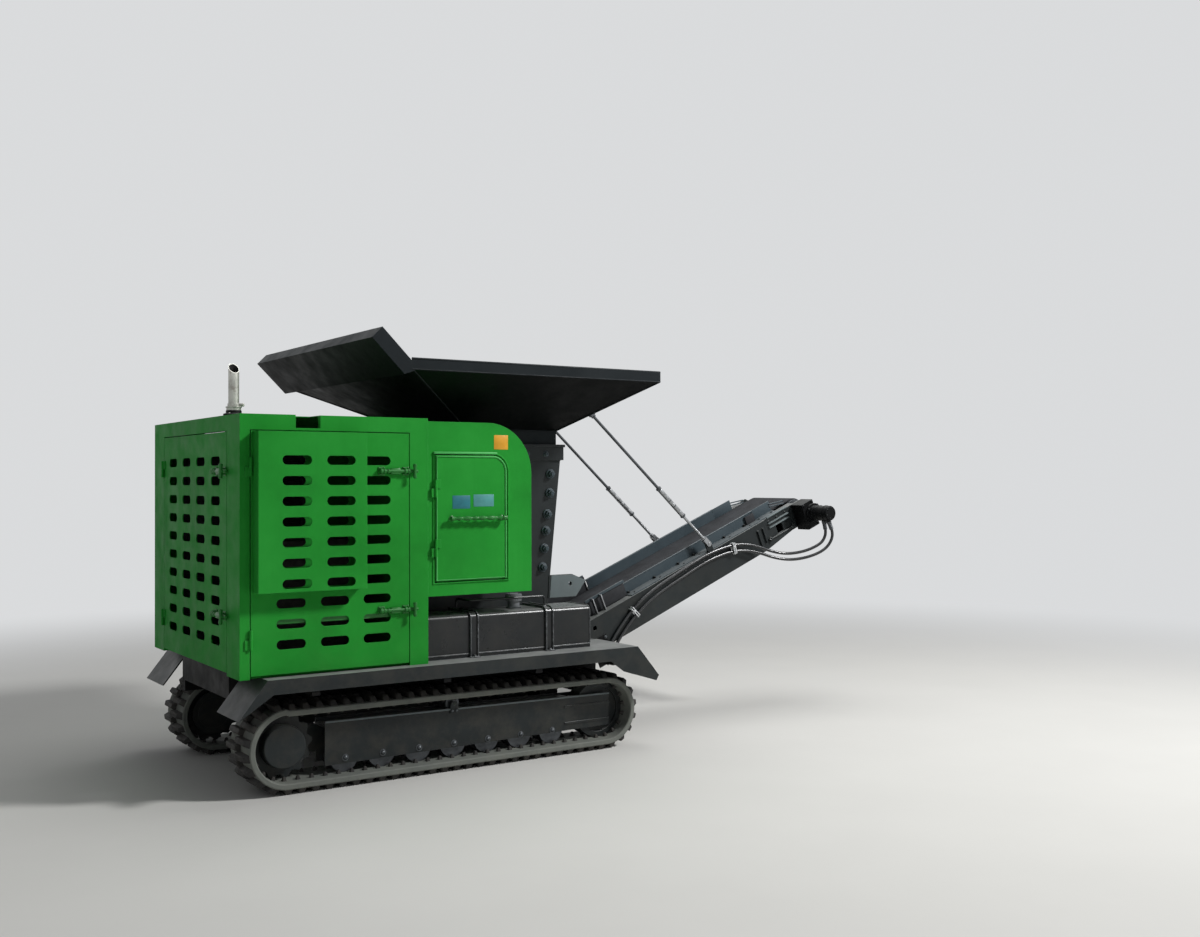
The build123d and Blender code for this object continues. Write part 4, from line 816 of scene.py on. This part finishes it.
# The latches and the handle take the darker green as painted shade.
make_sides("bolt_latches", build_side_latches, SHADED_GREEN, "side_door_{side}",
           replaces="side_latches_{side}")
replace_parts(make_piece("rear_bolt_latches", build_rear_latches, SHADED_GREEN, "rear_door"),
            "rear_latches")
make_sides("small_bolt_handle", build_small_handle, SHADED_GREEN, "crusher_door_{side}",
           replaces="crusher_handle_{side}")
make_sides("small_door_lip", build_door_lip, GREEN, "machine")
# The ledge and the small door's rim take the lighter green as a painted highlight.
make_sides("small_door_ledge", build_door_ledge, LIT_GREEN, "machine")
make_sides("side_door_rail", build_inner_rail, SHADED_GREEN, "side_door_{side}")
make_sides("small_door_rim", build_door_rim, LIT_GREEN, "crusher_door_{side}")

# Blank plates. Columns: material, body, face, x0, x1, z0, z1
BLANK_PLATES = {
    "blank_plate_amber": (AMBER, "machine", -HOUSE_HALF, 1.395, 1.482, 1.722, 1.800),
    "blank_plate_blue": (BLUE, "crusher_door_near", DOOR_FACE, 1.140, 1.246, 1.404, 1.474),
    "blank_plate_teal": (TEAL, "crusher_door_near", DOOR_FACE, 1.266, 1.390, 1.414, 1.479),
}
for name, (material, body, y, x0, x1, z0, z1) in BLANK_PLATES.items():
    make_piece(name, lambda bm: add_block(bm, (x0, y - 0.0012, z0), (x1, y + 0.0005, z1), 0.0006),
               material, body)


# Tanks: strap edges, caps and the rail between the straps

TANK_OUTER, TANK_INNER, TANK_TOP, TANK_EDGE = 0.683, 0.424, 0.838, 0.033
STRAPS = (1.313, 1.792)
CAP = (1.640, -0.545)
CAP_BASE, CAP_TOP, CAP_R = 0.833, 0.911, 0.046
RAIL_TOP, RAIL_BEND = 0.898, 0.020


def build_strap_edges(bm):
    """Two raised edges that make each strap a shallow channel, and its foot bolts."""
    bend = arc((TANK_EDGE - TANK_OUTER, TANK_TOP - TANK_EDGE), TANK_EDGE, 2, 1, 8)
    path = [(-TANK_OUTER, DECK_TOP), *bend, (-TANK_INNER, TANK_TOP)]
    for x in STRAPS:
        for x0, x1 in ((x - 0.025, x - 0.019), (x + 0.019, x + 0.025)):
            rings = []
            for index, (y, z) in enumerate(path):
                turn = max(0, min(8, index - 1)) * math.pi / 16
                rings.append([(side, y - lift * math.cos(turn), z + lift * math.sin(turn))
                              for side, lift in ((x0, -0.001), (x1, -0.001), (x1, 0.008), (x0, 0.008))])
            add_sweep(bm, rings)
        add_block(bm, (x - 0.030, -TANK_OUTER - 0.022, DECK_TOP),
                  (x + 0.030, -TANK_OUTER + 0.001, DECK_TOP + 0.005))
        add_bolt(bm, (x, -TANK_OUTER - 0.012, DECK_TOP + 0.005), UP, 0.008, 0.007)


def build_tank_rail(bm):
    """Thin rail over the outer top edge: down to the front strap, and back to the tank's inner side."""
    rear, front = STRAPS
    y, back, low = -TANK_OUTER + 0.052, -TANK_INNER - 0.050, RAIL_TOP - RAIL_BEND
    points = [(rear, back, TANK_TOP)]
    points += [(rear, a, z) for a, z in arc((back - RAIL_BEND, low), RAIL_BEND, 0, 1, 5)]
    points += [(x, a, RAIL_TOP) for x, a in arc((rear + RAIL_BEND, y + RAIL_BEND), RAIL_BEND, 2, 3, 5)]
    points += [(x, y, z) for x, z in arc((front - RAIL_BEND, low), RAIL_BEND, 1, 0, 5)]
    points.append((front, y, TANK_TOP))
    add_tube(bm, points, 0.0065, 12)
    for x, foot_y in ((rear, back), (front, y)):
        add_lathe(bm, (x, foot_y, TANK_TOP - 0.005), UP, [(0.012, 0), (0.012, 0.008), (0.0075, 0.011)], 14)


def build_tank_seams(bm):
    """Weld beads along the tank's foot and round its front end."""
    low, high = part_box("tanks")
    x0, x1, foot = low.x - REAR + 0.004, high.x - REAR - 0.004, DECK_TOP + 0.020
    outer, top = -high.y, high.z
    add_tube(bm, [(x0, outer, foot), (x1, outer, foot)], 0.0045, 8)
    bend = arc((outer + TANK_EDGE, top - TANK_EDGE), TANK_EDGE, 2, 1, 6)
    rim = [(outer, foot), *bend, (-TANK_INNER, top)]
    add_tube(bm, [(x1, y, z) for y, z in rim], 0.0045, 8)


def build_tank_cap(bm):
    """Collar, ribs and grip of the filler cap."""
    add_lathe(bm, (*CAP, CAP_BASE), UP, [(0.034, 0), (0.043, 0.001), (0.043, 0.006), (0.034, 0.008)], 32)
    for index in range(24):
        turn = Matrix.Rotation(math.pi * index / 12, 4, "Z")
        add_block(bm, (CAP_R - 0.001, -0.0022, -0.013), (CAP_R + 0.0018, 0.0022, 0.013), 0.0007,
                  Matrix.Translation((*CAP, CAP_TOP - 0.018)) @ turn)
    rim = [(0.040, -0.0005), (0.040, 0.002), (0.034, 0.0035), (0.033, -0.0005)]
    add_lathe(bm, (*CAP, CAP_TOP), UP, rim, 32)
    add_block(bm, (-0.028, -0.005, -0.0005), (0.028, 0.005, 0.006), 0.0015,
              Matrix.Translation((*CAP, CAP_TOP)))


make_sides("strap_edges", build_strap_edges, TANK, "machine")
make_sides("tank_rail", build_tank_rail, TANK, "machine")
make_sides("tank_seams", build_tank_seams, TANK, "machine")
make_sides("ribbed_cap", build_tank_cap, CAPS, "machine")


# Crusher: wall bolts, band lines, and the lashing ears' faces and welds

WALL_BOLTS = ((2.017, 1.592), (2.013, 1.479), (1.996, 1.353), (1.985, 1.254), (1.974, 1.149),
              (1.962, 1.038))
BAND_REAR, BAND_LOW, BAND_TOP = 1.640, 1.675, 1.752
BAND_BOLTS, BAND_BOLT_Z = (1.72, 1.85, 1.98), 1.712
BEARING, BEARING_BOLT_R = (1.310, 1.420), 0.082
EAR_FACE = ((2.014, 0.853), (2.199, 0.853), (2.269, 0.947), (2.171, 0.985), (2.026, 0.985))
EAR_HOLE, EAR_HOLE_R = (2.158, 0.931), 0.0125


def build_crusher_bolts(bm):
    """Large nuts on thick washers down the front edge of the side plate, and round the bearing."""
    for x, z in WALL_BOLTS:
        add_lathe(bm, (x, -JAW_HALF + 0.001, z), OUT, [(0.029, 0), (0.029, 0.008), (0.026, 0.010)], 24)
        add_bolt(bm, (x, -JAW_HALF - 0.008, z), OUT, 0.0225, 0.020, washer=False)
        add_rod(bm, (x, -JAW_HALF - 0.024, z), (x, -JAW_HALF - 0.038, z), 0.012)
    for x, z in circle(BEARING, BEARING_BOLT_R, 8):
        add_bolt(bm, (x, -JAW_HALF - 0.060, z), OUT, 0.010, 0.008)
    for x in BAND_BOLTS:
        add_bolt(bm, (x, -JAW_HALF - 0.015, BAND_BOLT_Z), OUT, 0.013, 0.010)


def build_crusher_welds(bm):
    """Weld beads where the band and the ear meet the side plate, and the band's upper edge."""
    add_tube(bm, [(BAND_REAR, -JAW_HALF, BAND_LOW), (2.089, -JAW_HALF, BAND_LOW)], 0.006, 8)
    add_tube(bm, [(2.004, -JAW_HALF, 0.853), (2.012, -JAW_HALF, 0.985)], 0.005, 8)
    front, top = 2.112, BAND_TOP + 0.016
    edge = [(BAND_REAR, BAND_TOP), (front, BAND_TOP), (front, top), (BAND_REAR, top)]
    add_plate(bm, edge, -JAW_HALF - 0.022, -JAW_HALF - 0.012, 0.002)


def build_ear_face(bm):
    """Paler skin on the outer face of the lashing ear, with the hole left open."""
    corners = [Vector(p) for p in EAR_FACE]
    centre = Vector(EAR_HOLE)
    turns = [math.pi * step / 12 for step in range(24)]
    turns += [math.atan2(*(p - centre).yx) % (2 * math.pi) for p in corners]
    rings = []
    for turn in sorted(turns):
        ahead = Vector((math.cos(turn), math.sin(turn)))
        inner = outer = centre + ahead * EAR_HOLE_R
        for start, end in zip(corners, corners[1:] + corners[:1]):
            outer = intersect_line_line_2d(centre, centre + ahead, start, end) or outer
        rings.append([(p.x, -JAW_HALF + y, p.y)
                      for p, y in ((inner, 0.001), (outer, 0.001), (outer, -0.0012), (inner, -0.0012))])
    add_sweep(bm, rings, closed=True)


make_sides("ear_face", build_ear_face, RAIL, "machine")
make_sides("crusher_bolts", build_crusher_bolts, SKIRT, "machine")
make_sides("crusher_welds", build_crusher_welds, DARK, "machine")


# Conveyor details, built in (u, y, w): u up the incline, w square to it from the beam's top edge

INCLINE = math.radians(22.6)
CONVEYOR = (2.497, 0.761)
INCLINED = Matrix.Translation(point(CONVEYOR[0], 0, CONVEYOR[1])) @ Matrix.Rotation(-INCLINE, 4, "Y")
SKIRT_BOLTS = (0.191, 0.413, 0.620, 0.760, 1.040, 1.230)
HEAD_SKIRT = (1.322, 1.500)
UPRIGHTS = (-0.095, -0.030)
SKIRT_Y = 0.211
TENSION_RAILS = (0.008, -0.035, -0.064)
SCREW_W = -0.140
DRUM = (1.690, -0.090)
MOTOR_MOUNT, MOTOR_FLANGE, MOTOR_END = -0.400, -0.414, -0.560
MOTOR_BANDS = (-0.428, -0.462, -0.520)
PIVOT, PIVOT_R = (-0.900, -0.100), 0.018
STAY_LUG, STAY_PIN_R = (0.850, 0.052), 0.009


def build_skirt_trim(bm):
    """Tail bar, head skirt with its foot, and the bead along the skirt."""
    u0, u1 = HEAD_SKIRT
    add_block(bm, (-0.140, -0.236, 0.090), (0.172, -0.228, 0.108))
    add_block(bm, (u0, -SKIRT_Y, -0.001), (u1, -SKIRT_Y + 0.006, 0.078))
    add_block(bm, (u0, -0.268, -0.001), (u1, -SKIRT_Y + 0.001, 0.006))
    for u in (u0 + 0.03, u1 - 0.03):
        add_bolt(bm, (u, -0.246, 0.006), UP, 0.008, 0.007)
    add_tube(bm, [(0.170, -SKIRT_Y, 0.075), (1.330, -SKIRT_Y, 0.075)], 0.0045, 8)
    for drop in (0.0, 0.018):
        outline = ((1.490, 0.053), (1.620, 0.023), (1.620, 0.031), (1.490, 0.061))
        add_plate(bm, [(u, w - drop) for u, w in outline], -SKIRT_Y - 0.006, -SKIRT_Y + 0.004, 0.001)


def build_skirt_clips(bm):
    """Small clips with a bolt each at the skirt's foot."""
    for u in SKIRT_BOLTS:
        add_block(bm, (u - 0.006, -SKIRT_Y - 0.014, 0.0), (u + 0.006, -SKIRT_Y + 0.001, 0.019))
        add_bolt(bm, (u, -SKIRT_Y - 0.014, 0.011), OUT, 0.0048, 0.004, washer=False)
        add_bolt(bm, (u + 0.020, -0.254, 0.006), UP, 0.006, 0.004, washer=False)


def build_tail_uprights(bm):
    for u in UPRIGHTS:
        add_block(bm, (u - 0.0035, -0.262, -0.001), (u + 0.0035, -0.238, 0.104))


def build_skirt_rubber(bm):
    """Rubber strips that close the tail end and the head gap beside the belt."""
    add_block(bm, (-0.150, -0.226, 0.002), (0.170, -0.218, 0.098))
    add_block(bm, (1.250, -0.226, 0.002), (1.330, -0.214, 0.062))


def build_head_trim(bm):
    """Stiffening ribs, the tension screw with its blocks on the head plate, and flange bolts."""
    face = -BEAM_HALF
    for u in (1.264, 1.312):
        add_block(bm, (u - 0.004, face - 0.012, -0.150), (u + 0.004, face + 0.001, -0.040))
    add_rod(bm, (1.340, face - 0.010, SCREW_W), (1.585, face - 0.010, SCREW_W), 0.006)
    for u in (1.352, 1.575):
        add_block(bm, (u - 0.006, face - 0.020, SCREW_W - 0.014),
                  (u + 0.006, face + 0.001, SCREW_W + 0.014))
        add_bolt(bm, (u - 0.008, face - 0.010, SCREW_W), (-1, 0, 0), 0.010, 0.008, washer=False)
    for u in (1.38, 1.46, 1.54, 1.62):
        add_bolt(bm, (u, face, -0.022), OUT, 0.0065, 0.005)


def build_tension_rails(bm):
    """Three rails that the head drum's bearing slides between."""
    for w in TENSION_RAILS:
        add_block(bm, (1.368, -BEAM_HALF - 0.014, w - 0.0045),
                  (1.560, -BEAM_HALF + 0.001, w + 0.0045), 0.0015)


def build_beam_trim(bm):
    """Washers of the pivot pin and the stay's pin, and the splice bolts near the tail."""
    for (u, w), r in ((PIVOT, PIVOT_R), (STAY_LUG, STAY_PIN_R)):
        washer = [(r + 0.010, -0.0005), (r + 0.010, 0.004), (r + 0.008, 0.005)]
        add_lathe(bm, (u, -BEAM_HALF, w), OUT, washer, 20)
    for u in (-0.22, -0.12):
        for w in (-0.140, -0.180):
            add_bolt(bm, (u, -BEAM_HALF - 0.004, w), OUT, 0.0075, 0.006)


def build_motor_trim(bm):
    """Bolts of the drive motor's mount and flange, its clamp bands and its end cover."""
    u, w = DRUM
    for bolt_u, bolt_w in circle(DRUM, 0.057, 4, math.pi / 4):
        add_bolt(bm, (bolt_u, MOTOR_FLANGE, bolt_w), OUT, 0.008, 0.007)
    for bolt_u in (u - 0.067, u + 0.014):
        for bolt_w in (w - 0.080, w + 0.078):
            add_bolt(bm, (bolt_u, MOTOR_MOUNT, bolt_w), OUT, 0.008, 0.006)
    for y in MOTOR_BANDS:
        add_collar(bm, (u, y, w), OUT, 0.0495, 0.053, 0.011, 36)
    cover = [(0.047, -0.0005), (0.047, 0.006), (0.043, 0.009), (0.020, 0.010)]
    add_lathe(bm, (u, MOTOR_END, w), OUT, cover, 36)
    for bolt_u, bolt_w in circle(DRUM, 0.036, 6):
        add_bolt(bm, (bolt_u, MOTOR_END - 0.008, bolt_w), OUT, 0.0055, 0.005, washer=False)


def build_far_bearing(bm):
    """Flanged bearing at the far end of the head drum."""
    flange = [(0.060, -0.0005), (0.060, 0.012), (0.040, 0.016), (0.038, 0.034), (0.030, 0.038)]
    add_lathe(bm, (DRUM[0], -BEAM_HALF, DRUM[1]), OUT, flange, 36)
    for u, w in circle(DRUM, 0.049, 4, math.pi / 4):
        add_bolt(bm, (u, -BEAM_HALF - 0.012, w), OUT, 0.008, 0.007)


make_sides("skirt_trim", build_skirt_trim, SKIRT, "conveyor", INCLINED)
make_sides("skirt_clips", build_skirt_clips, BLACK, "conveyor", INCLINED)
make_sides("tail_uprights", build_tail_uprights, STEEL, "conveyor", INCLINED)
make_sides("skirt_rubber", build_skirt_rubber, BELT, "conveyor", INCLINED)
make_sides("head_trim", build_head_trim, DARK, "conveyor", INCLINED)
make_sides("tension_rails", build_tension_rails, RAIL, "conveyor", INCLINED)
make_piece("beam_trim", build_beam_trim, BOLTS, "conveyor", INCLINED)
make_piece("motor_trim", build_motor_trim, BLACK, "conveyor", INCLINED)
make_piece("far_bearing", build_far_bearing, BLACK, "conveyor", INCLINED, mirrored=True)


# Stays: lock nuts, sleeve collars and threads

STAY_Y = 0.284
STAY_TOP = Vector((2.320, -STAY_Y, 1.985))
STAY_LOW = INCLINED @ Vector((STAY_LUG[0], -STAY_Y, STAY_LUG[1])) - STATION.translation
STAY_LENGTH = (STAY_LOW - STAY_TOP).length
STAY_AXIS = (STAY_LOW - STAY_TOP).normalized()
SLEEVE_START, SLEEVE_LENGTH = STAY_LENGTH * 0.58, 0.260
THREAD_PITCH, THREAD_RINGS = 0.0036, 34


def stay_spot(distance):
    """Point on the near stay's middle line, from its upper eye."""
    return STAY_TOP + STAY_AXIS * distance


def build_stay_upper_trim(bm):
    add_collar(bm, stay_spot(0.050), STAY_AXIS, 0.013, 0.015, 0.013, 6)
    for at in (-0.016, SLEEVE_LENGTH - 0.014):
        add_collar(bm, stay_spot(SLEEVE_START + at), STAY_AXIS, 0.016, 0.018, 0.014, 6)
    for at in (0.100, 0.150):
        add_collar(bm, stay_spot(SLEEVE_START + at), STAY_AXIS, 0.0138, 0.0152, 0.010, 18, 0.002)


def build_stay_sleeve(bm):
    """Galvanized shell over the turnbuckle's sleeve, with three grooves."""
    r, groove = 0.0150, 0.0143
    profile = [(groove, 0), (r, 0.002)]
    for at in (0.050, 0.124, 0.198):
        profile += [(r, at), (groove, at + 0.003), (groove, at + 0.009), (r, at + 0.012)]
    profile += [(r, SLEEVE_LENGTH - 0.004), (groove, SLEEVE_LENGTH - 0.002)]
    add_lathe(bm, stay_spot(SLEEVE_START + 0.001), STAY_AXIS, profile, 20)


def build_stay_lower_trim(bm):
    nut = STAY_LENGTH - 0.062
    add_collar(bm, stay_spot(nut), STAY_AXIS, 0.013, 0.015, 0.013, 6)
    thread = []
    for ring in range(THREAD_RINGS):
        thread += [(0.0088, ring * THREAD_PITCH), (0.0099, (ring + 0.5) * THREAD_PITCH)]
    thread.append((0.0088, THREAD_RINGS * THREAD_PITCH))
    add_lathe(bm, stay_spot(nut - THREAD_RINGS * THREAD_PITCH), STAY_AXIS, thread, 16)


make_sides("stay_nuts", build_stay_upper_trim, DULL, "stay_upper_{side}")
make_sides("stay_sleeve", build_stay_sleeve, STEEL, "stay_upper_{side}")
make_sides("stay_threads", build_stay_lower_trim, STEEL, "stay_lower_{side}")


# Exhaust and hopper trim

EXHAUST = (0.062, -0.480)
MOUTH_TOP, MOUTH_SHIFT, BORE_R = 2.145, 0.025, 0.0235
HOPPER_REAR, HOPPER_FRONT, HOPPER_HALF = 0.862, 2.445, 0.863
RIM_LOW, RIM_TOP = 2.125, 2.180
NECK_REAR, NECK_FRONT, NECK_Z = 1.450, 2.060, 1.850


def build_exhaust_clamp(bm):
    """Band clamp with its bolt over the collar, and the foot's four bolts."""
    x, y = EXHAUST
    base = HOUSE_TOP + 0.045
    add_collar(bm, (x, y, base - 0.004), UP, 0.0362, 0.0395, 0.007, 40)
    add_collar(bm, (x, y, base + 0.003), UP, 0.0262, 0.0305, 0.016, 40)
    add_block(bm, (x + 0.026, y - 0.022, base + 0.003), (x + 0.046, y - 0.012, base + 0.019))
    add_bolt(bm, (x + 0.039, y - 0.022, base + 0.011), OUT, 0.006, 0.006)
    for place in circle(EXHAUST, 0.0445, 4, math.pi / 4):
        add_bolt(bm, (*place, HOUSE_TOP + 0.012), UP, 0.0045, 0.004, washer=False)


def build_exhaust_base(bm):
    """Dark foot flange round the collar."""
    flange = [(0.0510, 0.0002), (0.0512, 0.0100), (0.0480, 0.0120), (0.0400, 0.0135), (0.0385, 0.0160),
              (0.0385, 0.0270), (0.0363, 0.0285)]
    add_lathe(bm, (*EXHAUST, HOUSE_TOP), UP, flange, 40)


def build_exhaust_soot(bm):
    """Black lining of the slanted mouth, closed further down."""
    outer, inner = (circle(EXHAUST, BORE_R + grow, 36) for grow in (0.0001, -0.0013))
    rings = []
    for (x0, y0), (x1, y1) in zip(outer, inner):
        rim0, rim1 = (MOUTH_TOP + y - (EXHAUST[1] + MOUTH_SHIFT) - 0.0015 for y in (y0, y1))
        low = MOUTH_TOP - 0.120
        rings.append([(x0, y0, rim0), (x1, y1, rim1), (x1, y1, low), (x0, y0, low)])
    add_sweep(bm, rings, closed=True)
    add_lathe(bm, (*EXHAUST, MOUTH_TOP - 0.100), UP, [(BORE_R - 0.001, 0), (BORE_R - 0.001, 0.004)], 36)


def hoop(x0, x1, half, z, inset=0.0):
    """Corners of a level rectangle, from the near rear one round to the far rear one."""
    x0, x1, half = x0 + inset, x1 - inset, half - inset
    return [(x0, -half, z), (x1, -half, z), (x1, half, z), (x0, half, z)]


def build_hopper_trim(bm):
    """Round bars on the rim's top edge, the fold under the rim, and the seams down to the neck."""
    add_tube(bm, hoop(HOPPER_REAR, HOPPER_FRONT - 0.004, HOPPER_HALF - 0.004, RIM_TOP), 0.0065)
    add_tube(bm, hoop(HOPPER_REAR, HOPPER_FRONT - 0.002, HOPPER_HALF - 0.002, RIM_LOW), 0.004, 8)
    add_tube(bm, hoop(NECK_REAR, NECK_FRONT, JAW_HALF, NECK_Z), 0.006, 8, closed=True)
    for seam in zip(hoop(NECK_REAR, NECK_FRONT, JAW_HALF, NECK_Z, 0.003),
                    hoop(HOPPER_REAR, HOPPER_FRONT, HOPPER_HALF, RIM_LOW, 0.003)):
        add_tube(bm, seam, 0.006, 8)


make_piece("exhaust_clamp", build_exhaust_clamp, PIPE, "machine")
make_piece("exhaust_base", build_exhaust_base, BLACK, "machine")
make_piece("exhaust_soot", build_exhaust_soot, SOOT, "machine")
make_piece("hopper_trim", build_hopper_trim, HOPPER, "machine")


# Engine bay: the cooler that stands behind the far door's slots

COOLER_X, COOLER_Y, COOLER_Z = (0.100, 0.860), (0.600, 0.672), (0.640, 1.790)
COOLER_RIM, FIN_PITCH = 0.034, 0.012


def build_cooler(bm):
    """Frame, pleated fins and core of the cooler."""
    (x0, x1), (y0, y1), (z0, z1) = COOLER_X, COOLER_Y, COOLER_Z
    left, right, foot, head = x0 + COOLER_RIM, x1 - COOLER_RIM, z0 + COOLER_RIM, z1 - COOLER_RIM
    for low_x, low_z, high_x, high_z in ((x0, z0, left, z1), (right, z0, x1, z1), (x0, z0, x1, foot),
                                         (x0, head, x1, z1)):
        add_block(bm, (low_x, y0, low_z), (high_x, y1, high_z), 0.004)
    for index in range(int((head - foot) / FIN_PITCH)):
        z = foot + (index + 0.5) * FIN_PITCH
        add_block(bm, (left, y0 + 0.012, z - 0.0045), (right, y1 - 0.012, z + 0.0045), 0)
    add_block(bm, (left, y0 + 0.024, foot), (right, y1 - 0.024, head), 0)


make_piece("cooler", build_cooler, CORE, "machine")


# Stage: pale floor, backdrop colour and soft light

FLOOR_COLOUR = srgb(205, 204, 200)
BACKDROP = (0.70, 0.71, 0.72, 1)
AMBIENT, AMBIENT_STRENGTH = (0.93, 0.96, 1.0, 1), 0.18
FADE_START, FADE_END = 3.4, 9.5


def seen_rays(n):
    """1 for rays that the camera, gloss or glass sends, 0 for the rays that light the object."""
    path = n.add("LightPath").outputs
    seen = n.math("MAXIMUM", path["Is Camera Ray"], path["Is Glossy Ray"])
    return n.math("MAXIMUM", seen, path["Is Transmission Ray"])


def make_floor():
    """Pale disc that fades into the backdrop's colour with distance."""
    bm = bmesh.new()
    bmesh.ops.create_circle(bm, cap_ends=True, radius=60, segments=96)
    mesh = bpy.data.meshes.new("floor")
    bm.to_mesh(mesh)
    bm.free()
    floor = bpy.data.objects.new("floor", mesh)
    bpy.context.collection.objects.link(floor)
    n = Surface("floor_finish")
    n.set(Base_Color=n.ramp(n.noise(1.3, 5), [(0.3, shade(FLOOR_COLOUR, 0.97)), (0.7, FLOOR_COLOUR)]),
          Roughness=0.9)
    glow = n.add("Emission", {"Color": BACKDROP})
    distance = n.add("VectorMath", {0: n.place}, operation="LENGTH").outputs["Value"]
    fade = n.add("MapRange", {"From Min": FADE_START, "From Max": FADE_END, "Value": distance},
                 interpolation_type="SMOOTHSTEP")
    share = n.times(fade.outputs[0], seen_rays(n))
    blend = n.add("MixShader", {0: share, 1: n.shader.outputs[0], 2: glow.outputs[0]})
    n.fill(n.output, {0: blend.outputs[0]})
    mesh.materials.append(n.material)


def make_world():
    world = bpy.data.worlds.new("studio")
    world.use_nodes = True
    n = Nodes(world.node_tree)
    ambient = n.add("Background", {"Color": AMBIENT, "Strength": AMBIENT_STRENGTH})
    shown = n.add("Background", {"Color": BACKDROP, "Strength": 1.0})
    blend = n.add("MixShader", {0: seen_rays(n), 1: ambient.outputs[0], 2: shown.outputs[0]})
    n.add("OutputWorld", {0: blend.outputs[0]})
    bpy.context.scene.world = world


def area_light(name, place, target, size, power):
    data = bpy.data.lights.new(name, "AREA")
    data.shape = "DISK"
    data.size = size
    data.energy = power
    lamp = bpy.data.objects.new(name, data)
    place, target = point(*place), point(*target)
    lamp.location = place
    lamp.rotation_euler = (target - place).to_track_quat("-Z", "Y").to_euler()
    bpy.context.collection.objects.link(lamp)


make_floor()
make_world()
area_light("key_light", (7.4, -5.9, 7.6), (1.9, 0, 0.9), 1.5, 990)
area_light("fill_light", (-4.5, -5.0, 3.5), (1.5, 0, 1.0), 5.0, 4)
area_light("top_light", (2.5, 0.5, 8.0), (2.0, 0, 1.0), 5.0, 200)

settings = bpy.context.scene.view_settings
settings.view_transform = "Standard"
